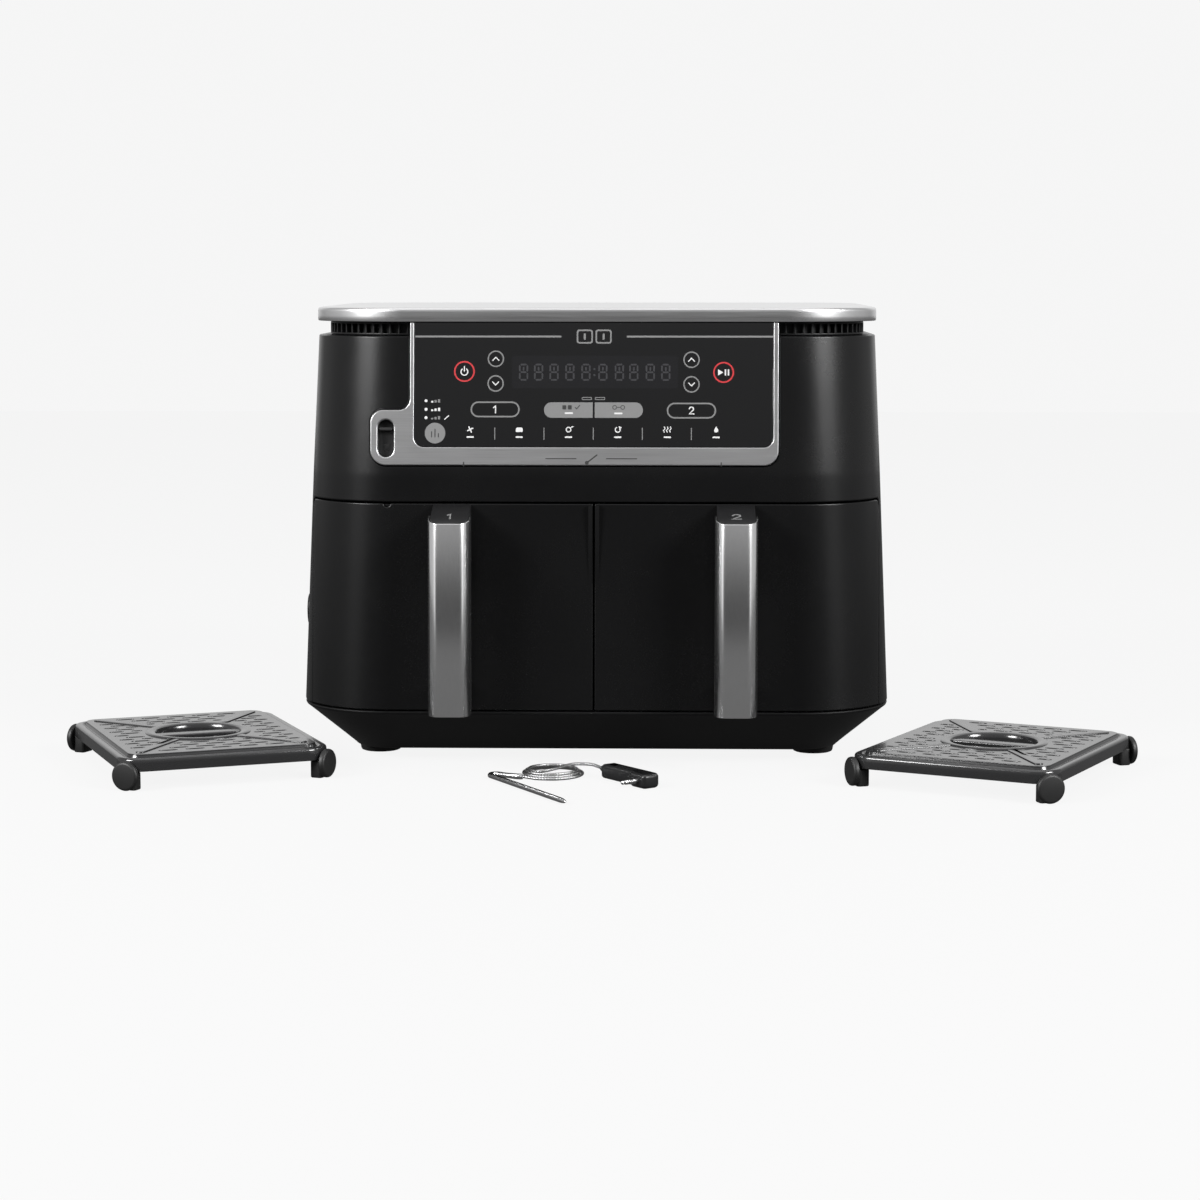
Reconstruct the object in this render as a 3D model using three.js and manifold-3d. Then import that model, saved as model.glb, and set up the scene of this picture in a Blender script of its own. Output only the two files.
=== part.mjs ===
// Twin-drawer air fryer with its two crisper plates and its food probe, as an assembly of separate solids.
// Millimetres, +Z up, the front (handles and control panel) faces -Y, the floor is z = 0.
// The appliance is drawn about its own centre plane x = 0 (the local frame) and the whole set is then
// moved so that the origin is the middle of the set's footprint.
import * as THREE from 'three';
import { mergeVertices } from 'three/addons/utils/BufferGeometryUtils.js';
import Module from 'manifold-3d';

const wasm = await Module();
wasm.setup();

// ---------------------------------------------------------------- driving dimensions
// body
const SEAM_LOW = 41.5; // height of the seam between base pan and drawers
const SEAM_HIGH = 191.5; // height of the seam above the drawers
const CREASE = 211; // height where the front turns to the control slope
const SHOULDER = 310; // top of the housing, under the air intake band
const PLATE_LOW = 320; // underside of the steel top plate
const TOTAL_H = 330;
const HALF_W_LOW = 215.5; // half width at SEAM_LOW
const SIDE_DRAFT = 0.0391; // half width lost per mm of height
const FRONT_LOW = -178; // front face at SEAM_LOW
const FRONT_MID = -170; // front face at SEAM_HIGH
const FRONT_CREASE = -169;
const FRONT_TOP = -157; // front face at SHOULDER
const REAR_LOW = 177; // rear face at SEAM_LOW
const REAR_TOP = 170; // rear face at SHOULDER
const R_FRONT = 68; // front corner radius in plan
const R_REAR = 50;
const WALL = 2.6; // housing wall
const BASE_FLOOR = 8; // underside of the base pan
const BASE_INSET = 37.5; // how far the base pan's foot outline lies inside the body
// feet
const FOOT_R = 16;
const FOOT_X = 161.5;
const FOOT_Y = [-97, 110];
// drawers
const SEAM_GAP = 1.2;
const DRAWER_HALF = 207; // outer edge of a drawer front, from the centre plane
const SKIN = 3.5; // drawer front wall
const DRAWER_BACK = -143.3; // plane of the drawer's inner panel, rear face
// cooking cavities
const CAV_X = [10, 189];
const CAV_Y = [-138.5, 95];
const CAV_Z = [44.5, 231];
const SHEET = 1.5;
const FAN_X = 99.5;
const FAN_Y = -28;
const SHAFT_R = 4;
const RUN = 0.35; // running clearance round the shaft
// handles
const HANDLE_X = 101.5;
const HANDLE_W = 30.2;
const HANDLE_OUT = 40; // stand-off of the grip's front from the drawer face
const HANDLE_LOW = 43.3;
const HANDLE_TOP = 179.6; // top edge at the grip's front
const HANDLE_SLOPE = 0.27; // rise of the top plane, per mm rearwards
const GRIP_T = 1.2;
const GRIP_D = 17; // depth of the grip's sides
// control bezel, in the plane of the control slope: x and s (s runs up the slope from CREASE)
const BEZEL_X = 131.9;
const LOBE_X = -160.2;
const BEZEL_S0 = 7.05;
const BEZEL_S1 = 109.3;
const LOBE_S = 46.6;
const PANEL_X = [-128.6, 127.8];
const PANEL_S = 20.35;
const JACK_X = -149.2;
const JACK_S = [12.9, 39.7];
const JACK_W = 11.5;
// crisper plates
const CRISP_W = 151;
const CRISP_L = 182;
const CRISP_R = 18;
const CRISP_SKIRT = 13; // underside of the skirt above the floor
const CRISP_RIM = 22;
const CRISP_TOP = 24;
const CRISPERS = [
  { side: 'left', x: -288, y: -164, turn: 22.8 },
  { side: 'right', x: 285.43, y: -194, turn: -26.4 },
];
// food probe
const PROBE_R = 1.9;
const PROBE_Z = 2.2;
const CABLE_R = 1.1;
const COIL_X = -28.6;
const COIL_Y = -207;
const COIL_R = [17, 23.4];
const COIL_H = [0.4, 8];
const PLUG_TAIL = [6.6, -207];
const PLUG_DIR = [0.605, -0.796];
const PLUG_L = 62;

// ---------------------------------------------------------------- finishes
const finish = {
  housing: { color: 0x1b1b1d, roughness: 0.42, metalness: 0.0 },
  base: { color: 0x161617, roughness: 0.5, metalness: 0.0 },
  steel: { color: 0xb9bbbd, roughness: 0.3, metalness: 1.0 },
  bezel: { color: 0xa6a8aa, roughness: 0.35, metalness: 0.9 },
  panel: { color: 0x0a0a0b, roughness: 0.08, metalness: 0.0 },
  coating: { color: 0x2a2b2d, roughness: 0.35, metalness: 0.4 },
  cavity: { color: 0x8c8e90, roughness: 0.4, metalness: 0.9 },
  heater: { color: 0x4a4744, roughness: 0.5, metalness: 0.8 },
  rubber: { color: 0x121212, roughness: 0.85, metalness: 0.0 },
  grip: { color: 0x141415, roughness: 0.5, metalness: 0.0 },
  board: { color: 0x1f4a2c, roughness: 0.6, metalness: 0.0 },
  motor: { color: 0x7c7f82, roughness: 0.4, metalness: 0.9 },
};

// ---------------------------------------------------------------- plane figures
function arc(cx, cy, rx, ry, a0, a1, n) {
  const out = [];
  for (let i = 0; i <= n; i++) {
    const a = ((a0 + ((a1 - a0) * i) / n) * Math.PI) / 180;
    out.push([cx + rx * Math.cos(a), cy + ry * Math.sin(a)]);
  }
  return out;
}

function rrect(x0, x1, y0, y1, r, n = 4) {
  return [
    ...arc(x1 - r, y0 + r, r, r, -90, 0, n),
    ...arc(x1 - r, y1 - r, r, r, 0, 90, n),
    ...arc(x0 + r, y1 - r, r, r, 90, 180, n),
    ...arc(x0 + r, y0 + r, r, r, 180, 270, n),
  ];
}

// A polygon whose corners [x, y, radius] are rounded, convex or concave.
function filleted(corners, n = 5) {
  const out = [];
  corners.forEach(([x, y, r], i) => {
    const p = new THREE.Vector2(x, y);
    const k = corners.length;
    const a = new THREE.Vector2(...corners[(i + k - 1) % k].slice(0, 2)).sub(p).normalize();
    const b = new THREE.Vector2(...corners[(i + 1) % k].slice(0, 2)).sub(p).normalize();
    if (!r) {
      out.push([x, y]);
      return;
    }
    const half = Math.acos(a.dot(b)) / 2;
    const t = r / Math.tan(half);
    const c = a.clone().add(b).normalize().multiplyScalar(r / Math.sin(half)).add(p);
    const s = a.clone().multiplyScalar(t).add(p).sub(c);
    const e = b.clone().multiplyScalar(t).add(p).sub(c);
    const a0 = Math.atan2(s.y, s.x);
    let d = Math.atan2(e.y, e.x) - a0;
    if (d > Math.PI) d -= 2 * Math.PI;
    if (d < -Math.PI) d += 2 * Math.PI;
    for (let j = 0; j <= n; j++) {
      const w = a0 + (d * j) / n;
      out.push([c.x + r * Math.cos(w), c.y + r * Math.sin(w)]);
    }
  });
  return out;
}

// The body's plan at a height: half width, front, rear.
function plan(z) {
  const hw = HALF_W_LOW - (z - SEAM_LOW) * SIDE_DRAFT;
  const yr = REAR_LOW + ((z - SEAM_LOW) * (REAR_TOP - REAR_LOW)) / (SHOULDER - SEAM_LOW);
  let yf;
  if (z <= SEAM_HIGH) yf = FRONT_LOW + ((z - SEAM_LOW) * (FRONT_MID - FRONT_LOW)) / (SEAM_HIGH - SEAM_LOW);
  else if (z <= CREASE) yf = FRONT_MID + ((z - SEAM_HIGH) * (FRONT_CREASE - FRONT_MID)) / (CREASE - SEAM_HIGH);
  else yf = FRONT_CREASE + ((z - CREASE) * (FRONT_TOP - FRONT_CREASE)) / (SHOULDER - CREASE);
  return { hw, yf, yr };
}

function bodyOutline(z, inset = 0, nf = 8, nr = 5) {
  const { hw, yf, yr } = plan(z);
  const f = R_FRONT - inset;
  const r = R_REAR - inset;
  const w = hw - inset;
  return [
    ...arc(w - f, yf + inset + f, f, f, -90, 0, nf),
    ...arc(w - r, yr - inset - r, r, r, 0, 90, nr),
    ...arc(-w + r, yr - inset - r, r, r, 90, 180, nr),
    ...arc(-w + f, yf + inset + f, f, f, 180, 270, nf),
  ];
}

// ---------------------------------------------------------------- solids
function triangulate(contour) {
  const pts = contour.map(([x, y]) => new THREE.Vector2(x, y));
  return THREE.ShapeUtils.triangulateShape(pts, []).map(([a, b, c]) => {
    const area =
      (pts[b].x - pts[a].x) * (pts[c].y - pts[a].y) - (pts[c].x - pts[a].x) * (pts[b].y - pts[a].y);
    return area > 0 ? [a, b, c] : [a, c, b];
  });
}

// A closed skin through rings of equal point count, anticlockwise seen from above, lowest first.
function loft(rings) {
  const n = rings[0].length;
  const pos = [];
  const idx = [];
  rings.forEach((ring) => ring.forEach((p) => pos.push(...p)));
  for (let k = 0; k < rings.length - 1; k++)
    for (let i = 0; i < n; i++) {
      const j = (i + 1) % n;
      const a = k * n + i;
      const b = k * n + j;
      const c = (k + 1) * n + j;
      const d = (k + 1) * n + i;
      idx.push(a, b, c, a, c, d);
    }
  const top = (rings.length - 1) * n;
  for (const [a, b, c] of triangulate(rings[0])) idx.push(a, c, b);
  for (const [a, b, c] of triangulate(rings[rings.length - 1])) idx.push(top + a, top + b, top + c);
  const g = new THREE.BufferGeometry();
  g.setAttribute('position', new THREE.Float32BufferAttribute(pos, 3));
  g.setIndex(idx);
  return g;
}

const at = (pts, z) => pts.map(([x, y]) => [x, y, z]);

function prism(pts, z0, z1, holes = []) {
  const shape = new THREE.Shape(pts.map(([x, y]) => new THREE.Vector2(x, y)));
  for (const h of holes) shape.holes.push(new THREE.Path(h.map(([x, y]) => new THREE.Vector2(x, y))));
  const g = new THREE.ExtrudeGeometry(shape, { depth: z1 - z0, bevelEnabled: false, steps: 1, curveSegments: 1 });
  return g.translate(0, 0, z0);
}

function solid(geometry) {
  const g = (geometry.index ? geometry.toNonIndexed() : geometry.clone());
  const bare = new THREE.BufferGeometry().setAttribute('position', g.getAttribute('position'));
  const m = mergeVertices(bare, 1e-4);
  return new wasm.Manifold(
    new wasm.Mesh({
      numProp: 3,
      vertProperties: new Float32Array(m.attributes.position.array),
      triVerts: new Uint32Array(m.index.array),
    }),
  );
}

function geometryOf(s) {
  const m = s.getMesh();
  const g = new THREE.BufferGeometry();
  const n = m.numProp;
  const src = m.vertProperties;
  const pos = new Float32Array((src.length / n) * 3);
  for (let i = 0; i < src.length / n; i++) pos.set([src[i * n], src[i * n + 1], src[i * n + 2]], i * 3);
  g.setAttribute('position', new THREE.BufferAttribute(pos, 3));
  g.setIndex(new THREE.BufferAttribute(new Uint32Array(m.triVerts), 1));
  return g;
}

const sLoft = (...rings) => solid(loft(rings));
const sPrism = (pts, z0, z1, holes) => solid(prism(pts, z0, z1, holes));
const sBox = (x0, x1, y0, y1, z0, z1) =>
  solid(new THREE.BoxGeometry(x1 - x0, y1 - y0, z1 - z0).translate((x0 + x1) / 2, (y0 + y1) / 2, (z0 + z1) / 2));
const sCyl = (r, z0, z1, x, y, n = 24, r1 = r) =>
  solid(
    new THREE.CylinderGeometry(r1, r, z1 - z0, n)
      .rotateX(Math.PI / 2)
      .translate(x, y, (z0 + z1) / 2),
  );
const sCylY = (r, y0, y1, x, z, n = 20) =>
  solid(new THREE.CylinderGeometry(r, r, y1 - y0, n).translate(x, (y0 + y1) / 2, z));
const join = (first, ...rest) => rest.reduce((a, b) => a.add(b), first);
const cut = (first, ...rest) => rest.reduce((a, b) => a.subtract(b), first);
const common = (a, b) => a.intersect(b);

// The control slope's own frame: x, s up the slope, w out of it.
const SLOPE = new THREE.Vector3(0, FRONT_TOP - FRONT_CREASE, SHOULDER - CREASE).normalize();
const slopeFrame = new THREE.Matrix4()
  .makeBasis(
    new THREE.Vector3(1, 0, 0),
    SLOPE,
    new THREE.Vector3(1, 0, 0).cross(SLOPE),
  )
  .setPosition(0, FRONT_CREASE, CREASE);
const onSlope = (pts, w0, w1, holes) => solid(prism(pts, w0, w1, holes).applyMatrix4(slopeFrame));

// The rear wall's own frame: x mirrored, s up the wall from SEAM_LOW, w out of it.
const BACK = new THREE.Vector3(0, REAR_TOP - REAR_LOW, SHOULDER - SEAM_LOW).normalize();
const backFrame = new THREE.Matrix4()
  .makeBasis(
    new THREE.Vector3(-1, 0, 0),
    BACK,
    new THREE.Vector3(-1, 0, 0).cross(BACK),
  )
  .setPosition(0, REAR_LOW, SEAM_LOW);
const onBack = (pts, w0, w1, holes) => solid(prism(pts, w0, w1, holes).applyMatrix4(backFrame));

// ---------------------------------------------------------------- the set
const set = new THREE.Group();
function piece(name, shape, look, parent = set) {
  const geometry = shape instanceof THREE.BufferGeometry ? shape : geometryOf(shape);
  const mesh = new THREE.Mesh(geometry, new THREE.MeshStandardMaterial({ ...finish[look] }));
  mesh.name = name;
  parent.add(mesh);
  return mesh;
}
const mirrored = (s) => s.mirror([1, 0, 0]);

// ---- base pan: a shallow tray whose sides flare out to the body's outline
const low = (z, inset) => at(bodyOutline(SEAM_LOW, inset), z);
piece(
  'base_pan',
  cut(
    sLoft(low(BASE_FLOOR, BASE_INSET), low(37.5, 1.1), low(41.2, 0.2)),
    sLoft(low(BASE_FLOOR + 2.6, BASE_INSET), low(37.5, 4), low(43, 3)),
  ),
  'base',
);

// ---- feet
for (const [name, x, y] of [
  ['foot_front_left', -FOOT_X, FOOT_Y[0]],
  ['foot_front_right', FOOT_X, FOOT_Y[0]],
  ['foot_rear_left', -FOOT_X, FOOT_Y[1]],
  ['foot_rear_right', FOOT_X, FOOT_Y[1]],
])
  piece(
    name,
    new THREE.LatheGeometry(
      [
        [0, 0],
        [14.6, 0],
        [15.2, 0.8],
        [FOOT_R, BASE_FLOOR - 0.3],
        [0, BASE_FLOOR - 0.3],
      ].map(([r, z]) => new THREE.Vector2(r, z)),
      16,
    )
      .rotateX(Math.PI / 2)
      .translate(x, y, 0),
    'rubber',
  );

// ---- housing: one moulded cover for both sides, rear and control slope
const skinRings = (inset, zs) => zs.map((z) => at(bodyOutline(z, inset), z));
const bezelCorners = (g, top) => [
  [LOBE_X - g, BEZEL_S0 - g, 11 + g],
  [BEZEL_X + g, BEZEL_S0 - g, 10.5 + g],
  [BEZEL_X + g, top, 0],
  [-BEZEL_X - g, top, 0],
  [-BEZEL_X - g, LOBE_S + g, 8 - g],
  [LOBE_X - g, LOBE_S + g, 9 + g],
];
const cavityVoid = sBox(CAV_X[0] - 0.4, CAV_X[1] + 0.4, CAV_Y[0] - 0.5, CAV_Y[1] + 0.4, 150, 240);
const caddyPlan = (g) => rrect(15 - 75 - g, 15 + 75 + g, 86.5 - g, 112.5 + g, 12.9 + g, 6); // in y, z
// A prism whose outline is given in y, z, running along x.
const onSide = (pts, x0, x1) =>
  solid(prism(pts, x0, x1).applyMatrix4(new THREE.Matrix4().makeBasis(new THREE.Vector3(0, 1, 0), new THREE.Vector3(0, 0, 1), new THREE.Vector3(1, 0, 0))));
const rearWindow = rrect(-140, 140, 26, 245, 8, 3);
piece(
  'housing_shell',
  cut(
    sLoft(...skinRings(0, [41.8, SEAM_HIGH, CREASE, SHOULDER])),
    sLoft(...skinRings(WALL, [30, 191.8])),
    sLoft(...skinRings(WALL, [194.4, CREASE, 307.4])),
    sLoft(...skinRings(17, [300, 312])),
    cavityVoid,
    mirrored(cavityVoid),
    sBox(-DRAWER_HALF - 0.4, DRAWER_HALF + 0.4, -230, -113, 20, 191.8),
    onSlope(filleted(bezelCorners(0.4, 125)), -16, 8),
    onBack(rearWindow, -8, 8),
    onSide(caddyPlan(0.4), -240, -195),
  ),
  'housing',
);

// ---- rear cover with two banks of exhaust louvres and the mains lead's gland
const louvres = [];
for (const bank of [-1, 1])
  for (let i = 0; i < 9; i++) louvres.push([[bank * 70 - 50, 130 + i * 11], [bank * 70 + 50, 130 + i * 11], [bank * 70 + 50, 135 + i * 11], [bank * 70 - 50, 135 + i * 11]]);
const GLAND = [112, 44]; // mirrored x, s
const glandHole = arc(...GLAND, 9.4, 9.4, 0, 337.5, 15);
piece(
  'rear_cover',
  cut(onBack(rrect(-139.6, 139.6, 26.4, 244.6, 7.6, 3), -3, -0.2), onBack(glandHole, -8, 4), ...louvres.map((l) => onBack(l, -8, 4))),
  'housing',
);
piece(
  'cord_gland',
  join(
    onBack(arc(...GLAND, 9, 9, 0, 337.5, 15), -6, 0.6, [arc(...GLAND, 3.7, 3.7, 0, 330, 11)]),
    onBack(arc(...GLAND, 12, 12, 0, 337.5, 15), -6, -3.3, [arc(...GLAND, 3.7, 3.7, 0, 330, 11)]),
  ),
  'rubber',
);

// ---- air intake grille: two rails joined by upright fins, open between the fins
const bandPlan = (inset) => bodyOutline(SHOULDER, inset, 7, 4);
const rail = (z0, z1) => cut(sPrism(bandPlan(8.6), z0, z1), sPrism(bandPlan(13), z0 - 1, z1 + 1));
const fins = [];
{
  const { hw, yf } = plan(SHOULDER);
  const pitch = 18.9;
  const finBox = (x, y, turn) =>
    solid(
      new THREE.BoxGeometry(2, 4.6, 8.4)
        .rotateZ(turn)
        .translate(x, y, 315),
    );
  for (const side of [-1, 1]) {
    for (let y = -84; y < 120; y += pitch) fins.push(finBox(side * (hw - 10.7), y, Math.PI / 2));
    const cx = side * (hw - R_FRONT);
    const cy = yf + R_FRONT;
    const r = R_FRONT - 10.7;
    for (let i = 0; i < 5; i++) {
      const a = ((6 + i * 18.6) * Math.PI) / 180;
      fins.push(finBox(cx + side * r * Math.cos(a), cy - r * Math.sin(a), Math.atan2(-r * Math.sin(a), side * r * Math.cos(a)) + Math.PI / 2));
    }
  }
}
const plainWall = cut(
  sPrism(bandPlan(9.4), 310.4, 319.7),
  sPrism(bandPlan(12), 300, 330),
  sBox(-300, 300, -90, 118, 300, 330),
  sBox(130, 300, -300, 0, 300, 330),
  sBox(-300, -130, -300, 0, 300, 330),
);
piece('intake_grille', join(rail(310.4, 311.8), rail(318.2, 319.7), plainWall, ...fins), 'base');

// ---- top plate: a pressed steel tray, turned down at its edge
piece(
  'top_plate',
  cut(
    sLoft(at(bandPlan(-0.8), 320.1), at(bandPlan(-0.8), 328.8), at(bandPlan(0.4), TOTAL_H)),
    sLoft(at(bandPlan(0.8), 318), at(bandPlan(0.8), 327.6), at(bandPlan(2), 328.4)),
  ),
  'steel',
);

// ---- control bezel: a frame round the panel's foot and sides, with a lobe for the probe socket
const slot = rrect(JACK_X - JACK_W / 2, JACK_X + JACK_W / 2, JACK_S[0], JACK_S[1], JACK_W / 2 - 0.01, 5);
const panelRect = (g) => filleted([
  [PANEL_X[0] - g, PANEL_S - g, 6.6],
  [PANEL_X[1] + g, PANEL_S - g, 6.6],
  [PANEL_X[1] + g, BEZEL_S1 + g * 20, 0],
  [PANEL_X[0] - g, BEZEL_S1 + g * 20, 0],
]);
piece(
  'control_bezel',
  cut(onSlope(filleted(bezelCorners(0, BEZEL_S1)), -4, 1.6), onSlope(slot, -8, 4), onSlope(panelRect(0.3), -8, 4)),
  'bezel',
);
piece('control_panel', onSlope(panelRect(0), -4, 1), 'panel');
piece('display_module', onSlope(rrect(-60, 62, 46, 76, 2, 2), -10, -4.4), 'board');
piece('control_board', onSlope(rrect(-122, 122, 23, 92, 3, 2), -12.2, -10.4), 'board');

// ---- probe socket behind the lobe, and its sliding cover
piece(
  'probe_socket',
  onSlope(rrect(JACK_X - 9, JACK_X + 9, 10, 43, 2, 2), -16, -6.6, [arc(JACK_X, 36, 1.85, 1.85, 0, 330, 11)]),
  'grip',
);
piece(
  'socket_cover',
  join(
    onSlope(rrect(JACK_X - 6.8, JACK_X + 6.8, 12.2, 40.4, 1.5, 2), -6.4, -4.6),
    onSlope(rrect(JACK_X - 4.6, JACK_X + 4.6, 32, 34.2, 0.8, 2), -5, 0.3),
    onSlope(rrect(JACK_X - 2.4, JACK_X + 2.4, 18, 22.4, 0.6, 2), -5, -4.25),
  ),
  'grip',
);

// ---- front frame: the face behind the drawer fronts, with the two basket openings
{
  const HALF = 192;
  const plate = sPrism([[-HALF, -142.5], [HALF, -142.5], [HALF, -139.5], [-HALF, -139.5]], 43, 191.2);
  const hole = sBox(11.4, 187.6, -150, -130, 44.6, 188.8);
  const web = sBox(HALF - 2.5, HALF, -140, -115.4, 43, 191.2);
  const ear = solid(
    prism(
      [
        [HALF - 2.5, 43],
        [212.0, 43],
        [205.0, 191.2],
        [HALF - 2.5, 191.2],
      ],
      115.4,
      118,
    ).applyMatrix4(
      new THREE.Matrix4().makeBasis(new THREE.Vector3(1, 0, 0), new THREE.Vector3(0, 0, 1), new THREE.Vector3(0, -1, 0)),
    ),
  );
  piece('front_frame', cut(join(plate, web, mirrored(web), ear, mirrored(ear)), hole, mirrored(hole)), 'base');
}

// ---- cooking cavities, heaters, guards, fans and motors
function cavity() {
  return cut(
    sBox(CAV_X[0], CAV_X[1], CAV_Y[0], CAV_Y[1], CAV_Z[0], CAV_Z[1]),
    sBox(CAV_X[0] + SHEET, CAV_X[1] - SHEET, CAV_Y[0] - 5, CAV_Y[1] - SHEET, CAV_Z[0] + SHEET, CAV_Z[1] - SHEET),
    sCyl(9, 220, 240, FAN_X, FAN_Y, 16),
  );
}
function heater(x) {
  const ring = [];
  for (let i = 0; i <= 6; i++) {
    const a = (-i * Math.PI * 2) / 6;
    ring.push(new THREE.Vector2(62 + 3.2 * Math.cos(a), 203.5 + 3.2 * Math.sin(a)));
  }
  return new THREE.LatheGeometry(ring.reverse(), 24).rotateX(Math.PI / 2).translate(x, FAN_Y, 0);
}
function guard() {
  const outer = rrect(CAV_X[0] + 2.2, CAV_X[1] - 2.2, CAV_Y[0] + 1, CAV_Y[1] - 2.2, 4, 2);
  let g = sPrism(outer, 194.8, 196, [arc(FAN_X, FAN_Y, 74, 74, 0, 337.5, 15)]);
  for (const k of [-1, 1]) {
    g = join(g, sBox(FAN_X + k * 26 - 1.5, FAN_X + k * 26 + 1.5, FAN_Y - 74, FAN_Y + 74, 194.8, 196));
    g = join(g, sBox(FAN_X - 74, FAN_X + 74, FAN_Y + k * 26 - 1.5, FAN_Y + k * 26 + 1.5, 194.8, 196));
  }
  return g;
}
function rotor(x, z0, z1, r, blades, twist, disc) {
  const bore = sCyl(SHAFT_R + RUN, z0 - 5, z1 + 5, x, FAN_Y, 16);
  let f = sCyl(11, z0, z1, x, FAN_Y, 16);
  if (disc) f = join(f, sCyl(r, z1 - 1.4, z1, x, FAN_Y, 24));
  for (let i = 0; i < blades; i++) {
    const blade = new THREE.BoxGeometry(r - 9.5, 1.6, z1 - z0 - 2)
      .rotateX(twist)
      .translate(9 + (r - 9.5) / 2, 0, (z0 + z1) / 2 - (disc ? 0.5 : 0))
      .rotateZ((i * Math.PI * 2) / blades)
      .translate(x, FAN_Y, 0);
    f = join(f, solid(blade));
  }
  return cut(f, bore);
}
for (const [side, k] of [
  ['left', -1],
  ['right', 1],
]) {
  const x = k * FAN_X;
  const c = cavity();
  piece('cavity_' + side, k < 0 ? mirrored(c) : c, 'cavity');
  piece('heater_' + side, heater(x), 'heater');
  const g = guard();
  piece('heater_guard_' + side, k < 0 ? mirrored(g) : g, 'cavity');
  piece('convection_fan_' + side, rotor(x, 210, 224, 56, 8, 0, true), 'cavity');
  piece('fan_shaft_' + side, sCyl(SHAFT_R, 207, 297, x, FAN_Y, 16), 'steel');
  piece(
    'motor_' + side,
    cut(
      join(sCyl(32, 235, 272, x, FAN_Y, 24), sBox(x - 38, x + 38, FAN_Y - 9, FAN_Y + 9, 233.6, 237)),
      sCyl(SHAFT_R + RUN, 225, 280, x, FAN_Y, 16),
    ),
    'motor',
  );
  piece('cooling_fan_' + side, rotor(x, 281, 291, 38, 6, 0.6, false), 'grip');
}

// ---- heat deck over the cavities, carrying the motors
piece(
  'heat_deck',
  cut(
    common(sPrism(bodyOutline(232, 4.6), 231.5, 233.2), sBox(-300, 300, -128, 300, 200, 260)),
    sCyl(10, 220, 240, FAN_X, FAN_Y, 16),
    sCyl(10, 220, 240, -FAN_X, FAN_Y, 16),
  ),
  'cavity',
);

// ---- power board on the rear of the cavities
piece(
  'power_board',
  join(
    sBox(-62, 62, 128, 129.6, 60, 180),
    sBox(-50, -18, 112, 128.5, 120, 160),
    sBox(10, 34, 108, 128.5, 80, 120),
    sBox(38, 52, 114, 128.5, 130, 150),
  ),
  'board',
);

// ---- drawers
const inside = (inset, z0, z1) => sLoft(at(bodyOutline(z0, inset, 10, 3), z0), at(bodyOutline(z1, inset, 10, 3), z1));
function drawerFront() {
  const outer = inside(0, 35, SEAM_HIGH);
  const inner = inside(SKIN, 30, SEAM_HIGH + 6);
  const blank = common(outer, sBox(SEAM_GAP / 2, DRAWER_HALF, -230, -100, 42.3, 190.7));
  const hollow = common(inner, sBox(SEAM_GAP / 2 + SKIN, 260, -230, -90, 45.8, 187.2));
  return cut(
    blank,
    hollow,
    sBox(-2, 193.5, DRAWER_BACK, -90, 30, 200),
    sBox(-2, 260, DRAWER_BACK, -90, 30, 70),
    sBox(-2, 260, -119.4, -90, 30, 200),
  );
}
function basket() {
  const o = (x0, x1, y0, y1, r, z) => at(rrect(x0, x1, y0, y1, r, 4), z);
  return cut(
    sLoft(
      o(21, 178, -137, 67, 19, 47),
      o(18, 181, -140, 70, 22, 50),
      o(14, 185, -142.8, 74, 22, 183),
      o(12.4, 186.6, -142.9, 75.6, 23, 183),
      o(12.4, 186.6, -142.9, 75.6, 23, 186),
    ),
    sLoft(
      o(22.5, 176.5, -135.5, 65.5, 17.5, 48.6),
      o(19.6, 179.4, -138.4, 68.4, 20.4, 51.4),
      o(15.6, 183.4, -141.3, 72.4, 20.4, 188),
    ),
  );
}
// Plan points of the handle at a depth behind the grip's front; each point keeps its depth while the
// handle leans with the drawer face.
const LEAN = (FRONT_MID - FRONT_LOW) / (SEAM_HIGH - SEAM_LOW);
const gripFront = (z) => FRONT_LOW - HANDLE_OUT + (z - SEAM_LOW) * LEAN;
function handleLoft(cx, pts, z0, z1 = null) {
  const foot = pts.map(([x, d]) => [cx + x, gripFront(z0) + d, z0]);
  const head = pts.map(([x, d]) => {
    const z = z1 === null ? HANDLE_TOP + HANDLE_SLOPE * d : z1;
    return [cx + x, gripFront(z) + d, z];
  });
  return sLoft(foot, head);
}
function handleFigure(g) {
  const w = HANDLE_W / 2 - g;
  return [...arc(-w + 8.1 - g, 12, 8.1 - g, 12 - g, 180, 270, 5), ...arc(w - 8.1 + g, 12, 8.1 - g, 12 - g, 270, 360, 5)];
}
function grip(cx) {
  const out = handleFigure(0);
  const inn = handleFigure(GRIP_T).reverse();
  return handleLoft(cx, [[-HANDLE_W / 2, GRIP_D], ...out, [HANDLE_W / 2, GRIP_D], [HANDLE_W / 2 - GRIP_T, GRIP_D], ...inn, [-HANDLE_W / 2 + GRIP_T, GRIP_D]], HANDLE_LOW);
}
function gripCore(cx) {
  const w = HANDLE_W / 2 - GRIP_T - 0.3;
  const body = handleLoft(cx, [...handleFigure(GRIP_T + 0.3), [w, GRIP_D], [-w, GRIP_D]], HANDLE_LOW);
  const post = [[-w, GRIP_D - 3], [w, GRIP_D - 3], [w, HANDLE_OUT - 0.3], [-w, HANDLE_OUT - 0.3]];
  return join(body, handleLoft(cx, post, HANDLE_LOW, 62), handleLoft(cx, post, 150));
}
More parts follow.
